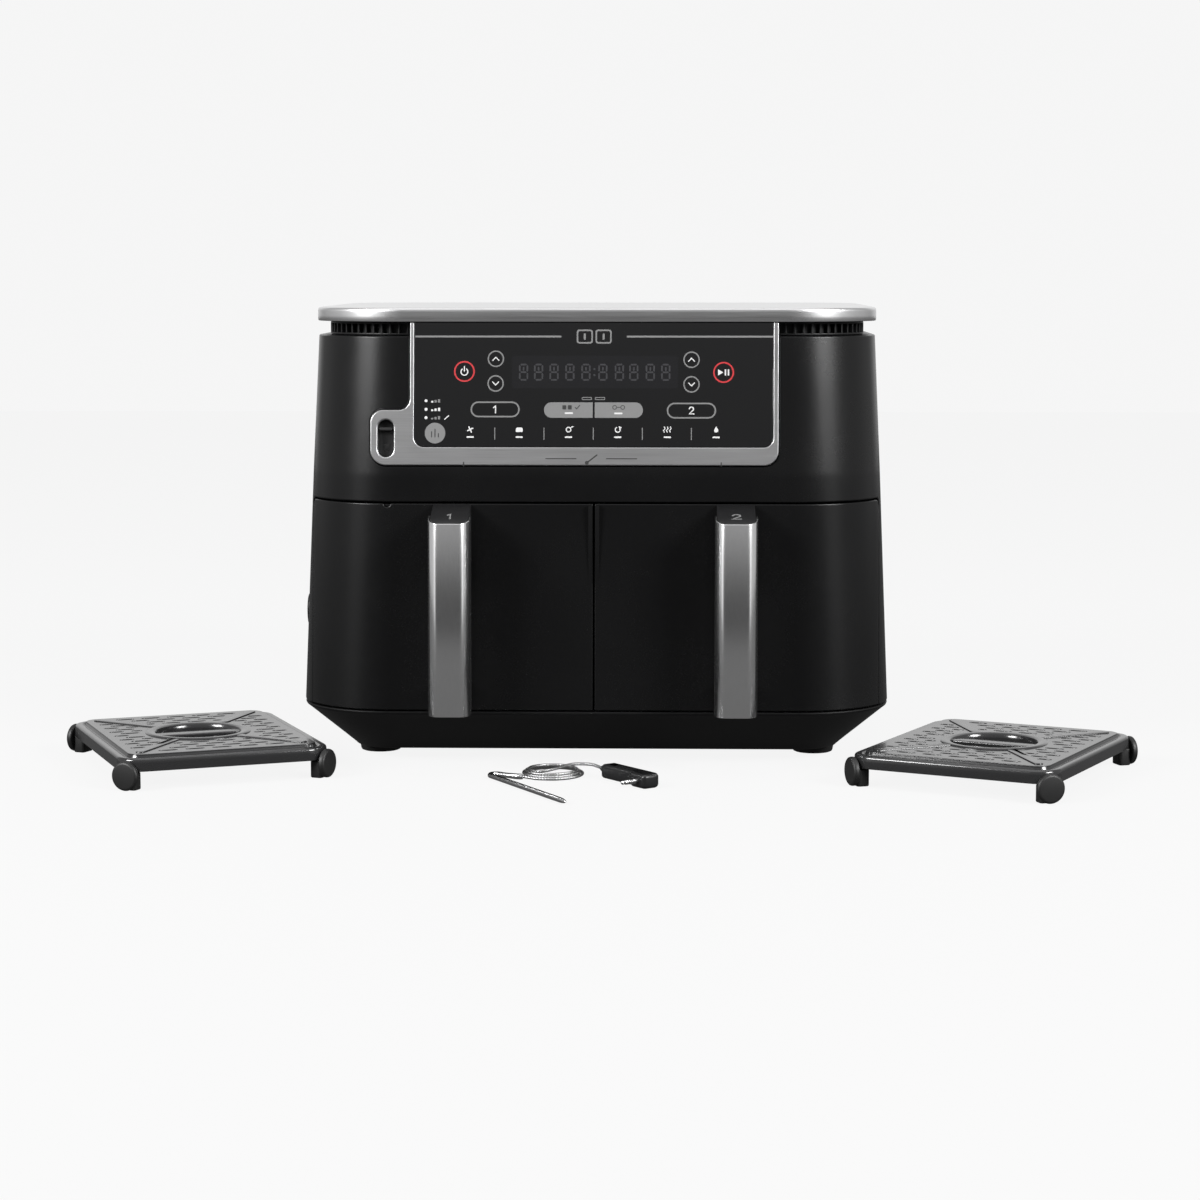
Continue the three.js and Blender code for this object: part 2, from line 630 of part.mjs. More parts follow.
for (const [side, k] of [
  ['left', -1],
  ['right', 1],
]) {
  const f = drawerFront();
  // the left drawer's top edge has a notch that lets the probe's cable out
  const notch = sCylY(2.7, -200, -150, 148.5, 190.9, 12);
  piece('drawer_front_' + side, k < 0 ? mirrored(cut(f, notch)) : f, 'housing');
  const b = sPrism(rrect(4.4, 188.3, DRAWER_BACK - 3, DRAWER_BACK - 0.1, 0.5, 1), 46.1, 186.9);
  piece('drawer_panel_' + side, k < 0 ? mirrored(b) : b, 'base');
  const t = basket();
  piece('basket_' + side, k < 0 ? mirrored(t) : t, 'coating');
  piece('handle_grip_' + side, grip(k * HANDLE_X), 'steel');
  piece('handle_core_' + side, gripCore(k * HANDLE_X), 'grip');
}

// ---- probe caddy: a spool that pulls out of the left side
piece(
  'probe_caddy',
  join(
    onSide(caddyPlan(0), -221, -214.5),
    onSide(rrect(15 - 69, 15 + 69, 92.5, 106.5, 6.9, 5), -214.6, -201),
    onSide(rrect(15 - 74, 15 + 74, 87.5, 111.5, 11.9, 6), -203, -200.8),
  ),
  'base',
);

// ---- crisper plates with their silicone bumpers
function crisper() {
  const o = (g, z) => at(rrect(-CRISP_W / 2 + g, CRISP_W / 2 - g, -CRISP_L / 2 + g, CRISP_L / 2 - g, CRISP_R - Math.min(g, 12), 4), z);
  let p = cut(
    sLoft(o(0, CRISP_SKIRT), o(0.6, CRISP_RIM - 1), o(1.6, CRISP_RIM), o(6, CRISP_RIM), o(8.4, CRISP_TOP)),
    sLoft(o(1.6, CRISP_SKIRT - 2), o(2.2, CRISP_RIM - 2.2), o(7, CRISP_RIM - 1.8), o(10, CRISP_TOP - 1.8)),
  );
  // the finger dish with its bridge
  const ringWall = cut(sCyl(38, CRISP_TOP - 2.4, CRISP_TOP + 1, 0, 0, 28), sCyl(30, 0, 40, 0, 0, 24));
  const dish = cut(sCyl(31.6, 12.4, CRISP_TOP, 0, 0, 24), sCyl(30, 14, 40, 0, 0, 24));
  p = join(cut(p, sCyl(30.6, 0, 40, 0, 0, 24)), ringWall, dish, sBox(-30.6, 30.6, -6, 6, CRISP_TOP - 3.4, CRISP_TOP - 0.6));
  // air slots, in four fields between the diagonals
  const holes = [];
  for (let r = -3; r <= 3; r++) {
    for (const c of [-1, 1]) {
      const y = r * 21;
      const x = c * (Math.abs(y) < 40 ? 52 : r % 2 ? 22 : 40);
      holes.push(sBox(x - 9, x + 9, y - 1.8, y + 1.8, 15, 30));
    }
  }
  return cut(p, ...holes);
}
// A bumper clips under a corner of the skirt: a round outer cheek and a foot below the skirt.
function bumper(sx, sy) {
  const cheek = new THREE.CylinderGeometry(10.4, 10.4, 4.6, 16)
    .rotateY(Math.PI / 16)
    .rotateX(Math.PI / 2)
    .rotateY(0)
    .applyMatrix4(
      // the cylinder's axis was y, then z: turn it to point out along +x
      new THREE.Matrix4().makeBasis(new THREE.Vector3(0, 1, 0), new THREE.Vector3(0, 0, 1), new THREE.Vector3(1, 0, 0)),
    )
    .translate(2.7, 0, 10.2);
  const foot = new THREE.BoxGeometry(9, 13, 12.3).translate(-3.6, 0, 6.15);
  const s = join(solid(cheek), solid(foot));
  const reach = Math.SQRT1_2 * CRISP_R;
  const m = new THREE.Matrix4().makeRotationZ(Math.atan2(sy, sx));
  m.setPosition(sx * (CRISP_W / 2 - CRISP_R + reach), sy * (CRISP_L / 2 - CRISP_R + reach), 0);
  return solid(geometryOf(s).applyMatrix4(m));
}
for (const { side, x, y, turn } of CRISPERS) {
  const holder = new THREE.Group();
  holder.position.set(x, y, 0);
  holder.rotation.z = (turn * Math.PI) / 180;
  set.add(holder);
  piece('crisper_plate_' + side, crisper(), 'coating', holder);
  for (const [where, sx, sy] of [
    ['front_left', -1, -1],
    ['front_right', 1, -1],
    ['rear_left', -1, 1],
    ['rear_right', 1, 1],
  ])
    piece('bumper_' + side + '_' + where, bumper(sx, sy), 'rubber', holder);
}

// ---- food probe: hairpin rod, cable coil, lead, plug and pin
class Poly extends THREE.Curve {
  constructor(points) {
    super();
    this.c = new THREE.CatmullRomCurve3(points.map((p) => new THREE.Vector3(...p)), false, 'centripetal');
  }
  getPoint(t, target = new THREE.Vector3()) {
    return this.c.getPointAt(t, target);
  }
}
function tube(points, r, sides, steps) {
  const ring = [];
  for (let i = 0; i < sides; i++) ring.push(new THREE.Vector2(r * Math.cos((i * 2 * Math.PI) / sides), r * Math.sin((i * 2 * Math.PI) / sides)));
  return new THREE.ExtrudeGeometry(new THREE.Shape(ring), { steps, bevelEnabled: false, extrudePath: new Poly(points), curveSegments: 1 });
}
{
  const bend = arc(-68.0, -217.5, 4, 4, 210.1, 54.1, 8).map(([x, y]) => [x, y, PROBE_Z]);
  const rod = [
    [-14.7, -317.4, PROBE_Z],
    [-29, -292.8, PROBE_Z],
    [-43, -268.6, PROBE_Z],
    [-57, -244.5, PROBE_Z],
    ...bend,
    [-61, -217.7, PROBE_Z],
    [-56.5, -220.6, PROBE_Z],
    [-52.4, -222.4, PROBE_Z],
    [-48.6, -223.2, PROBE_Z],
  ];
  piece('probe_rod', tube(rod, PROBE_R, 8, 30), 'steel');
}
piece(
  'probe_cable_coil',
  new THREE.LatheGeometry(
    [
      [COIL_R[0], COIL_H[0]],
      [COIL_R[1], COIL_H[0]],
      [COIL_R[1], COIL_H[1]],
      [COIL_R[0], COIL_H[1]],
      [COIL_R[0], COIL_H[0]],
    ].map(([r, z]) => new THREE.Vector2(r, z)),
    28,
  )
    .rotateX(Math.PI / 2)
    .translate(COIL_X, COIL_Y, 0),
  'steel',
);
piece(
  'probe_cable',
  tube(
    [
      [-5.2, -197.2, 6.2],
      [-3.2, -198, 6.8],
      [-0.6, -199.6, 7.2],
      [2.2, -201.8, 6.8],
      [4.4, -204.4, 6.2],
      [6.25, -206.7, 5.8],
    ],
    CABLE_R,
    8,
    8,
  ),
  'steel',
);
{
  // the plug's own frame: u along its body from the tail, v to its left, z up
  const frame = new THREE.Matrix4()
    .makeBasis(
      new THREE.Vector3(PLUG_DIR[0], PLUG_DIR[1], 0).normalize(),
      new THREE.Vector3(-PLUG_DIR[1], PLUG_DIR[0], 0).normalize(),
      new THREE.Vector3(0, 0, 1),
    )
    .setPosition(PLUG_TAIL[0], PLUG_TAIL[1], 0);
  const body = prism(
    filleted([
      [5, -6.6, 3],
      [PLUG_L - 17, -6.6, 0],
      [PLUG_L - 15, -9, 1],
      [PLUG_L, -9, 4],
      [PLUG_L, 6.6, 6],
      [5, 6.6, 3],
    ], 3),
    0.3,
    10.4,
  ).applyMatrix4(frame);
  const tail = new THREE.CylinderGeometry(2.6, 2.6, 6, 12).rotateZ(Math.PI / 2).translate(3.2, 0, 5.6).applyMatrix4(frame);
  piece('probe_plug', join(solid(body), solid(tail)), 'grip');
  const pin = new THREE.CylinderGeometry(1.75, 1.75, 13.5, 12).translate(PLUG_L - 7.5, -9 - 0.3 - 6.75, 5.6).applyMatrix4(frame);
  piece('probe_pin', pin, 'steel');
}

// ---------------------------------------------------------------- origin at the middle of the footprint
const ON_CORD = new Set(['probe_cable', 'probe_cable_coil', 'probe_plug', 'probe_pin']);
set.updateMatrixWorld(true);
const footprint = new THREE.Box3();
set.traverse((o) => {
  if (o.isMesh && !ON_CORD.has(o.name)) footprint.expandByObject(o, true);
});
const middle = footprint.getCenter(new THREE.Vector3());
const whole = new THREE.Group();
set.position.set(-middle.x, -middle.y, 0);
whole.add(set);

export default whole;
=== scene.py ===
import math

import bpy
import numpy as np
from mathutils import Matrix, Vector
from mathutils.geometry import delaunay_2d_cdt


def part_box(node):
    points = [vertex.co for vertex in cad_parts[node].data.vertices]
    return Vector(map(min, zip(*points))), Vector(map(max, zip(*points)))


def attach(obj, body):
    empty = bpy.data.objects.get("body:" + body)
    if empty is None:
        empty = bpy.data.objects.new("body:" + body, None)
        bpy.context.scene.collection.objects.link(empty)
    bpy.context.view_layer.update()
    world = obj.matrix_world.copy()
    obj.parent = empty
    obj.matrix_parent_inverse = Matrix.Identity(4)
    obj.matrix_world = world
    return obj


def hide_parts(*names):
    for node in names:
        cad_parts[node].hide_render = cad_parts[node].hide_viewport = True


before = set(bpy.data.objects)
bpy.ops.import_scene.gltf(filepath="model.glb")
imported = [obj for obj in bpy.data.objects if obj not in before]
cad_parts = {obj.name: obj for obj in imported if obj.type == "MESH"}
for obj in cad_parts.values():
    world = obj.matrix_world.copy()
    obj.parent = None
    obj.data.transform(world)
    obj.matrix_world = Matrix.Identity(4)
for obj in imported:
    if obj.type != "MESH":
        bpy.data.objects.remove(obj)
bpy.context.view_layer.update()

# ------------------------------------------------------------------ shared measures (mm, appliance frame)
# The appliance frame has its origin under the middle of the body; Y0 moves it into the row frame.
SEAM_LOW, SEAM_HIGH, CREASE, SHOULDER = 41.5, 191.5, 211.0, 310.0
R_F, R_R = 68.0, 50.0
Y0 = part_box("housing_shell")[1].y * 1000 - 176.992
DRAFT = 0.0391
FRONT_S = 0.12121  # lean of the control slope, mm per mm
LEAN = 8.0 / 150.0  # lean of the drawer faces
SOFT = 1.3  # half width of the soft crease


def hw_of(z):
    return 215.5 - (z - 41.5) * DRAFT


def yf_of(z):
    t = (z - CREASE) / SOFT
    kink = (FRONT_S - LEAN) * SOFT * np.logaddexp(0.0, t)
    return -178.0 + (z - 41.5) * LEAN + kink


def yr_of(z):
    return 177.0 - (z - 41.5) * 7.0 / 268.5


def W(p):
    """Appliance frame in mm to the row frame in metres."""
    p = np.asarray(p, float)
    return (p + np.array([0.0, Y0, 0.0])) / 1000.0


# ------------------------------------------------------------------ plane figures
def arc(cx, cy, rx, ry, a0, a1, n):
    a = np.radians(np.linspace(a0, a1, n + 1))
    return np.stack([cx + rx * np.cos(a), cy + ry * np.sin(a)], 1)


def rrect(x0, x1, y0, y1, r, n=6):
    return np.concatenate([
        arc(x1 - r, y0 + r, r, r, -90, 0, n), arc(x1 - r, y1 - r, r, r, 0, 90, n),
        arc(x0 + r, y1 - r, r, r, 90, 180, n), arc(x0 + r, y0 + r, r, r, 180, 270, n)])


def filleted(corners, n=6):
    out = []
    k = len(corners)
    for i, (x, y, r) in enumerate(corners):
        p = np.array([x, y], float)
        if not r:
            out.append(p)
            continue
        a = np.array(corners[(i - 1) % k][:2], float) - p
        b = np.array(corners[(i + 1) % k][:2], float) - p
        a /= np.linalg.norm(a)
        b /= np.linalg.norm(b)
        half = math.acos(max(-1, min(1, a @ b))) / 2
        t = r / math.tan(half)
        c = p + (a + b) / np.linalg.norm(a + b) * r / math.sin(half)
        s, e = p + a * t - c, p + b * t - c
        a0 = math.atan2(s[1], s[0])
        d = math.atan2(e[1], e[0]) - a0
        d = (d + math.pi) % (2 * math.pi) - math.pi
        for j in range(n + 1):
            w = a0 + d * j / n
            out.append(c + r * np.array([math.cos(w), math.sin(w)]))
    return np.array(out)


def dense(poly, ds):
    """The closed polygon with its long edges subdivided."""
    out = []
    n = len(poly)
    for i in range(n):
        a, b = poly[i], poly[(i + 1) % n]
        k = max(1, int(math.ceil(np.linalg.norm(b - a) / ds)))
        for j in range(k):
            out.append(a + (b - a) * j / k)
    return np.array(out)


def area2(poly):
    x, y = poly[:, 0], poly[:, 1]
    return float(np.sum(x * np.roll(y, -1) - np.roll(x, -1) * y))


def inside(pts, poly):
    x, y = pts[:, 0], pts[:, 1]
    res = np.zeros(len(pts), bool)
    a = poly
    b = np.roll(poly, -1, 0)
    for (x0, y0), (x1, y1) in zip(a, b):
        if y0 == y1:
            continue
        hit = ((y0 > y) != (y1 > y)) & (x < (x1 - x0) * (y - y0) / (y1 - y0) + x0)
        res ^= hit
    return res


def inward(poly):
    """Miter normals into the material, on the left of the travel."""
    d = np.roll(poly, -1, 0) - poly
    ln = np.linalg.norm(d, axis=1)
    ln[ln == 0] = 1
    d = d / ln[:, None]
    nrm = np.stack([-d[:, 1], d[:, 0]], 1)
    prev = np.roll(nrm, 1, 0)
    m = nrm + prev
    k = np.maximum(0.35, np.sum(m * m, 1) / 2)
    return m / k[:, None]


def shrink(poly, d):
    return poly + inward(poly) * d


# ------------------------------------------------------------------ meshes
def new_object(name, verts, faces, mat, loop_normals=None, smooth=None, uvs=None):
    me = bpy.data.meshes.new(name)
    me.from_pydata([tuple(map(float, v)) for v in verts], [], faces)
    me.validate(clean_customdata=False)
    if uvs is not None:
        layer = me.uv_layers.new(name="UVMap")
        layer.data.foreach_set("uv", np.asarray(uvs, np.float32).ravel())
    me.shade_smooth()
    if loop_normals is not None and len(loop_normals) == len(me.loops):
        me.normals_split_custom_set([tuple(map(float, n)) for n in loop_normals])
    elif smooth is not None:
        me.set_sharp_from_angle(angle=math.radians(smooth))
    o = bpy.data.objects.new(name, me)
    bpy.context.scene.collection.objects.link(o)
    if mat is not None:
        me.materials.append(mat)
    return o


class Mesh:
    """Collects several shells into one object; faces may carry their corner normals."""

    def __init__(self):
        self.v, self.f, self.n = [], [], []
        self.count = 0
        self.m = []

    def add(self, verts, faces, normals=None, slot=0):
        verts = np.asarray(verts, float)
        base = self.count
        self.v.append(verts)
        self.count += len(verts)
        for i, f in enumerate(faces):
            self.f.append([base + j for j in f])
            self.n.append(None if normals is None else normals[i])
            self.m.append(slot)
        return base

    def make(self, name, mats, smooth=35, weld=False):
        v = np.concatenate(self.v)
        mats = mats if isinstance(mats, (list, tuple)) else [mats]
        me = bpy.data.meshes.new(name)
        me.from_pydata([tuple(p) for p in v.tolist()], [], self.f)
        me.shade_smooth()
        me.set_sharp_from_angle(angle=math.radians(smooth))
        for mt in mats:
            me.materials.append(mt)
        if len(mats) > 1:
            me.polygons.foreach_set("material_index", np.array(self.m, np.int32))
        if any(n is not None for n in self.n):
            me.update()
            flat = []
            auto = [tuple(c.vector) for c in me.corner_normals]
            k = 0
            for f, n in zip(self.f, self.n):
                for j in range(len(f)):
                    flat.append(auto[k] if n is None else tuple(float(x) for x in n[j]))
                    k += 1
            me.normals_split_custom_set(flat)
        me.update()
        o = bpy.data.objects.new(name, me)
        bpy.context.scene.collection.objects.link(o)
        return o


def triangulate(loops, extra=None):
    """Constrained triangulation: the first loop is the outside, the rest are holes."""
    pts = np.concatenate(loops)
    edges = []
    base = 0
    for lp in loops:
        n = len(lp)
        edges += [(base + i, base + (i + 1) % n) for i in range(n)]
        base += n
    nb = len(pts)
    if extra is not None and len(extra):
        pts = np.concatenate([pts, extra])
    vs, es, fs, ov, oe, of = delaunay_2d_cdt([Vector(p) for p in pts], edges, [], 0, 1e-5, True)
    vs = np.array([tuple(v) for v in vs])
    tri = np.array([f for f in fs if len(f) == 3], int)
    cen = vs[tri].mean(1)
    keep = inside(cen, loops[0])
    for h in loops[1:]:
        keep &= ~inside(cen, h)
    tri = tri[keep]
    # turn them all anticlockwise
    a, b, c = vs[tri[:, 0]], vs[tri[:, 1]], vs[tri[:, 2]]
    s = (b[:, 0] - a[:, 0]) * (c[:, 1] - a[:, 1]) - (c[:, 0] - a[:, 0]) * (b[:, 1] - a[:, 1])
    tri = tri[np.abs(s) > 1e-9]
    s = s[np.abs(s) > 1e-9]
    tri[s < 0] = tri[s < 0][:, [0, 2, 1]]
    # the output's index of each input vertex
    where = {}
    for i, src in enumerate(ov):
        for j in src:
            where[j] = i
    return vs, tri, where, nb


def near_boundary(pts, loops, d):
    bp = np.concatenate(loops)
    keep = np.ones(len(pts), bool)
    for i in range(0, len(pts), 400):
        block = pts[i:i + 400]
        dd = np.min(np.sum((block[:, None] - bp[None]) ** 2, 2), 1)
        keep[i:i + 400] = dd > d * d
    return pts[keep]


def frame_of(fmap, uv, eps=0.02):
    """Position and outward normal of a surface at uv, by differences."""
    p = fmap(uv)
    du = fmap(uv + np.array([eps, 0])) - fmap(uv - np.array([eps, 0]))
    dv = fmap(uv + np.array([0, eps])) - fmap(uv - np.array([0, eps]))
    n = np.cross(du, dv)
    n /= np.linalg.norm(n, axis=1)[:, None]
    return p, n


def sheet(mesh, fmap, outer, holes=(), r=1.0, thick=2.5, ds=3.0, nf=4, grid=None, lift=0.0, slot=0, hole_r=None, back=True):
    """A plate that follows the surface fmap, with a rounded edge all round, closed at the back.
    fmap takes (n, 2) surface coordinates in mm and gives (n, 3) mm in the appliance frame."""
    loops = []
    for i, lp in enumerate([outer, *holes]):
        lp = dense(np.asarray(lp, float), ds)
        if (area2(lp) > 0) != (i == 0):
            lp = lp[::-1]
        loops.append(lp)
    verts, index = [], 0
    faces, norms = [], []

    def put(uv, depth):
        p, n = frame_of(fmap, uv)
        return p + n * (lift + depth), n

    inner_loops = []
    ring_top = []  # first index of each loop's innermost ring
    ring_low = []
    for k, lp in enumerate(loops):
        rr = r if k == 0 or hole_r is None else hole_r
        m = inward(lp)
        ml = m / np.linalg.norm(m, axis=1)[:, None]
        n = len(lp)
        rings = []
        for j in range(nf + 1):
            ph = math.pi / 2 * j / nf
            inset, depth = rr * (1 - math.cos(ph)), -rr + rr * math.sin(ph)
            uv = lp + m * inset
            pos, nor = put(uv, depth)
            q = fmap(uv - ml * 0.05) - fmap(uv)
            q -= nor * np.sum(q * nor, 1)[:, None]
            q /= np.linalg.norm(q, axis=1)[:, None]
            vn = q * math.cos(ph) + nor * math.sin(ph)
            rings.append((pos, vn, q))
        side = rings[0][2]
        low, nlow = put(lp, -thick)
        base = index
        verts.append(low)
        index += n
        low_i = base
        for pos, vn, q in rings:
            verts.append(pos)
            index += n
        first = base + n
        for i in range(n):
            j = (i + 1) % n
            faces.append([low_i + i, low_i + j, first + j, first + i])
            norms.append([side[i], side[j], side[j], side[i]])
        for t in range(nf):
            a = first + t * n
            b = first + (t + 1) * n
            va, vb = rings[t][1], rings[t + 1][1]
            for i in range(n):
                j = (i + 1) % n
                faces.append([a + i, a + j, b + j, b + i])
                norms.append([va[i], va[j], vb[j], vb[i]])
        inner_loops.append(lp + m * rr)
        ring_top.append(first + nf * n)
        ring_low.append(low_i)
    extra = None
    if grid is not None and len(grid):
        g = np.asarray(grid, float)
        ok = inside(g, inner_loops[0])
        for h in inner_loops[1:]:
            ok &= ~inside(g, h)
        g = near_boundary(g[ok], inner_loops, min(ds, 2.0) * 0.55)
        extra = g
    vs, tri, where, nb = triangulate(inner_loops, extra)
    remap = {}
    base_in = 0
    for k, lp in enumerate(inner_loops):
        for i in range(len(lp)):
            remap[where[base_in + i]] = ring_top[k] + i
        base_in += len(lp)
    rest = [i for i in range(len(vs)) if i not in remap]
    pos, nor = put(vs[rest], 0.0) if rest else (np.zeros((0, 3)), None)
    verts.append(pos)
    for j, i in enumerate(rest):
        remap[i] = index + j
    index += len(rest)
    pall, nall = put(vs, 0.0)
    for t in tri:
        faces.append([remap[i] for i in t])
        norms.append([nall[i] for i in t])
    if back:
        bpos, bnor = put(vs, -thick)
        verts.append(bpos)
        b0 = index
        index += len(vs)
        for t in tri:
            faces.append([b0 + i for i in t[::-1]])
            norms.append([-nall[i] for i in t[::-1]])
        base_in = 0
        for k, lp in enumerate(inner_loops):
            n = len(lp)
            for i in range(n):
                j = (i + 1) % n
                a, b = b0 + where[base_in + i], b0 + where[base_in + j]
                c, d = ring_low[k] + j, ring_low[k] + i
                faces.append([a, b, c, d])
                nn = -nall[where[base_in + i]]
                norms.append([nn, nn, nn, nn])
            base_in += n
    allv = np.concatenate(verts)
    mesh.add(W(allv), faces, norms, slot)


def loft(mesh, rings, cap0=True, cap1=True, slot=0, closed=True):
    """A skin through rings (each (n, 3) in mm, anticlockwise from above, lowest first), with flat caps."""
    n = len(rings[0])
    v = np.concatenate(rings)
    faces = []
    for k in range(len(rings) - 1):
        for i in range(n if closed else n - 1):
            j = (i + 1) % n
            a, b = k * n + i, k * n + j
            faces.append([a, b, b + n, a + n])
    if cap0:
        faces.append(list(range(n))[::-1])
    if cap1:
        faces.append(list(range((len(rings) - 1) * n, len(rings) * n)))
    mesh.add(W(v), faces, None, slot)


def lathe(mesh, profile, centre=(0, 0, 0), n=40, axis="z", slot=0, M=None):
    """A closed profile of (radius, height) that starts and ends on the axis, turned; axis points smoothly."""
    prof = np.asarray(profile, float)
    a = np.linspace(0, 2 * math.pi, n, endpoint=False)
    rings, faces = [], []
    idx = []
    verts = []
    for r, h in prof:
        if r < 1e-6:
            idx.append(("p", len(verts)))
            verts.append((0, 0, h))
        else:
            idx.append(("r", len(verts)))
            verts += [(r * math.cos(t), r * math.sin(t), h) for t in a]
    for (ka, ia), (kb, ib) in zip(idx, idx[1:]):
        for i in range(n):
            j = (i + 1) % n
            if ka == "p" and kb == "p":
                continue
            if ka == "p":
                faces.append([ia, ib + j, ib + i])
            elif kb == "p":
                faces.append([ia + i, ia + j, ib])
            else:
                faces.append([ia + i, ia + j, ib + j, ib + i])
    v = np.array(verts, float)
    if M is not None:
        v = v @ np.array(M)[:3, :3].T + np.array(M)[:3, 3]
    if axis == "y":
        v = v[:, [0, 2, 1]] * np.array([1, -1, 1])
        v[:, 1] *= -1
        v = v * np.array([1, -1, 1])
    v = v + np.array(centre, float)
    mesh.add(W(v), faces, None, slot)


def prism(mesh, poly, z0, z1, r=0.5, nf=3, to3=None, slot=0, ds=4.0):
    """A straight block over a plane figure with rounded ends. to3 takes (n, 2), z and gives (n, 3) mm."""
    poly = dense(np.asarray(poly, float), ds)
    if area2(poly) < 0:
        poly = poly[::-1]
    if to3 is None:
        to3 = lambda p, z: np.column_stack([p, z])
    rings = []
    for j in range(nf + 1):
        ph = math.pi / 2 * j / nf
        rings.append((shrink(poly, r * (1 - math.sin(ph))), z0 + r * (1 - math.cos(ph))))
    for j in range(nf + 1):
        ph = math.pi / 2 * (1 - j / nf)
        rings.append((shrink(poly, r * (1 - math.sin(ph))), z1 - r * (1 - math.cos(ph))))
    pts = [to3(p, np.full(len(p), z)) for p, z in rings]
    n = len(poly)
    v = np.concatenate(pts)
    faces = []
    for k in range(len(pts) - 1):
        for i in range(n):
            j = (i + 1) % n
            faces.append([k * n + i, k * n + j, (k + 1) * n + j, (k + 1) * n + i])
    vs, tri, where, nb = triangulate([rings[0][0]])
    inv = {o: i for i, o in where.items()}
    extra = [i for i in range(len(vs)) if i not in inv]
    if not extra:
        top = (len(pts) - 1) * n
        for t in tri:
            ids = [inv[i] for i in t]
            faces.append([ids[2], ids[1], ids[0]])
            faces.append([top + i for i in ids])
    mesh.add(W(v), faces, None, slot)


def sweep(mesh, path, radii, sides=16, slot=0, uv_scale=None):
    """A round bar along a path (mm), with closed ends; radii may change along it. Returns its corner UVs."""
    path = np.asarray(path, float)
    n = len(path)
    radii = np.broadcast_to(np.asarray(radii, float), (n,))
    tan = np.gradient(path, axis=0)
    tan /= np.linalg.norm(tan, axis=1)[:, None]
    up = np.array([0, 0, 1.0])
    if abs(tan[0] @ up) > 0.9:
        up = np.array([1.0, 0, 0])
    nrm = np.cross(tan[0], up)
    nrm /= np.linalg.norm(nrm)
    frames = []
    for i in range(n):
        nrm = nrm - tan[i] * (nrm @ tan[i])
        nrm /= np.linalg.norm(nrm)
        frames.append((nrm.copy(), np.cross(tan[i], nrm)))
    a = np.linspace(0, 2 * math.pi, sides, endpoint=False)
    v = []
    for i in range(n):
        e1, e2 = frames[i]
        v.append(path[i] + radii[i] * (np.outer(np.cos(a), e1) + np.outer(np.sin(a), e2)))
    v = np.concatenate(v)
    faces, uvs = [], []
    s = np.concatenate([[0], np.cumsum(np.linalg.norm(np.diff(path, axis=0), axis=1))])
    for k in range(n - 1):
        for i in range(sides):
            j = (i + 1) % sides
            faces.append([k * sides + i, k * sides + j, (k + 1) * sides + j, (k + 1) * sides + i])
            u0, u1 = i / sides, (i + 1) / sides
            uvs += [(u0, s[k]), (u1, s[k]), (u1, s[k + 1]), (u0, s[k + 1])]
    faces.append(list(range(sides))[::-1])
    uvs += [(0, 0)] * sides
    faces.append([(n - 1) * sides + i for i in range(sides)])
    uvs += [(0, 0)] * sides
    mesh.add(W(v), faces, None, slot)
    return uvs


# ------------------------------------------------------------------ materials
class Look:
    def __init__(self, name, base, rough, metal=0.0, **kw):
        m = bpy.data.materials.new(name)
        m.use_nodes = True
        self.m = m
        self.t = m.node_tree
        self.b = self.t.nodes["Principled BSDF"]
        self.b.inputs["Base Color"].default_value = (*base, 1)
        self.b.inputs["Roughness"].default_value = rough
        self.b.inputs["Metallic"].default_value = metal
        for k, v in kw.items():
            self.b.inputs[k.replace("_", " ")].default_value = v
        self.co = self.node("ShaderNodeTexCoord")
        self.height = []

    def node(self, kind, **kw):
        n = self.t.nodes.new(kind)
        for k, v in kw.items():
            setattr(n, k, v)
        return n

    def link(self, a, b):
        self.t.links.new(a, b)

    def coords(self, scale=(1, 1, 1), uv=False, rot=(0, 0, 0)):
        mp = self.node("ShaderNodeMapping")
        mp.inputs["Scale"].default_value = scale
        mp.inputs["Rotation"].default_value = rot
        self.link(self.co.outputs["UV" if uv else "Object"], mp.inputs["Vector"])
        return mp.outputs["Vector"]

    def noise(self, scale, detail=3.0, stretch=(1, 1, 1), rough=0.5, uv=False, distortion=0.0, rot=(0, 0, 0)):
        n = self.node("ShaderNodeTexNoise")
        n.inputs["Scale"].default_value = scale
        n.inputs["Detail"].default_value = detail
        n.inputs["Roughness"].default_value = rough
        n.inputs["Distortion"].default_value = distortion
        self.link(self.coords(stretch, uv, rot), n.inputs["Vector"])
        return n.outputs["Fac"]

    def ramp(self, fac, lo, hi, a, b):
        r = self.node("ShaderNodeMapRange")
        r.inputs["From Min"].default_value = lo
        r.inputs["From Max"].default_value = hi
        r.inputs["To Min"].default_value = a
        r.inputs["To Max"].default_value = b
        self.link(fac, r.inputs["Value"])
        return r.outputs["Result"]

    def color_mix(self, fac, c0, c1):
        r = self.node("ShaderNodeValToRGB")
        r.color_ramp.elements[0].color = (*c0, 1)
        r.color_ramp.elements[1].color = (*c1, 1)
        self.link(fac, r.inputs["Fac"])
        return r.outputs["Color"], r

    def math(self, op, a, b):
        n = self.node("ShaderNodeMath", operation=op)
        for i, x in enumerate((a, b)):
            if isinstance(x, (int, float)):
                n.inputs[i].default_value = x
            else:
                self.link(x, n.inputs[i])
        return n.outputs[0]

    def rough(self, out):
        self.link(out, self.b.inputs["Roughness"])

    def base(self, out):
        self.link(out, self.b.inputs["Base Color"])

    def bump(self, height, distance_mm, strength=1.0):
        n = self.node("ShaderNodeBump")
        n.inputs["Strength"].default_value = strength
        n.inputs["Distance"].default_value = distance_mm / 1000.0
        self.link(height, n.inputs["Height"])
        if self.height:
            self.link(self.height[-1], n.inputs["Normal"])
        self.height.append(n.outputs["Normal"])
        self.link(n.outputs["Normal"], self.b.inputs["Normal"])


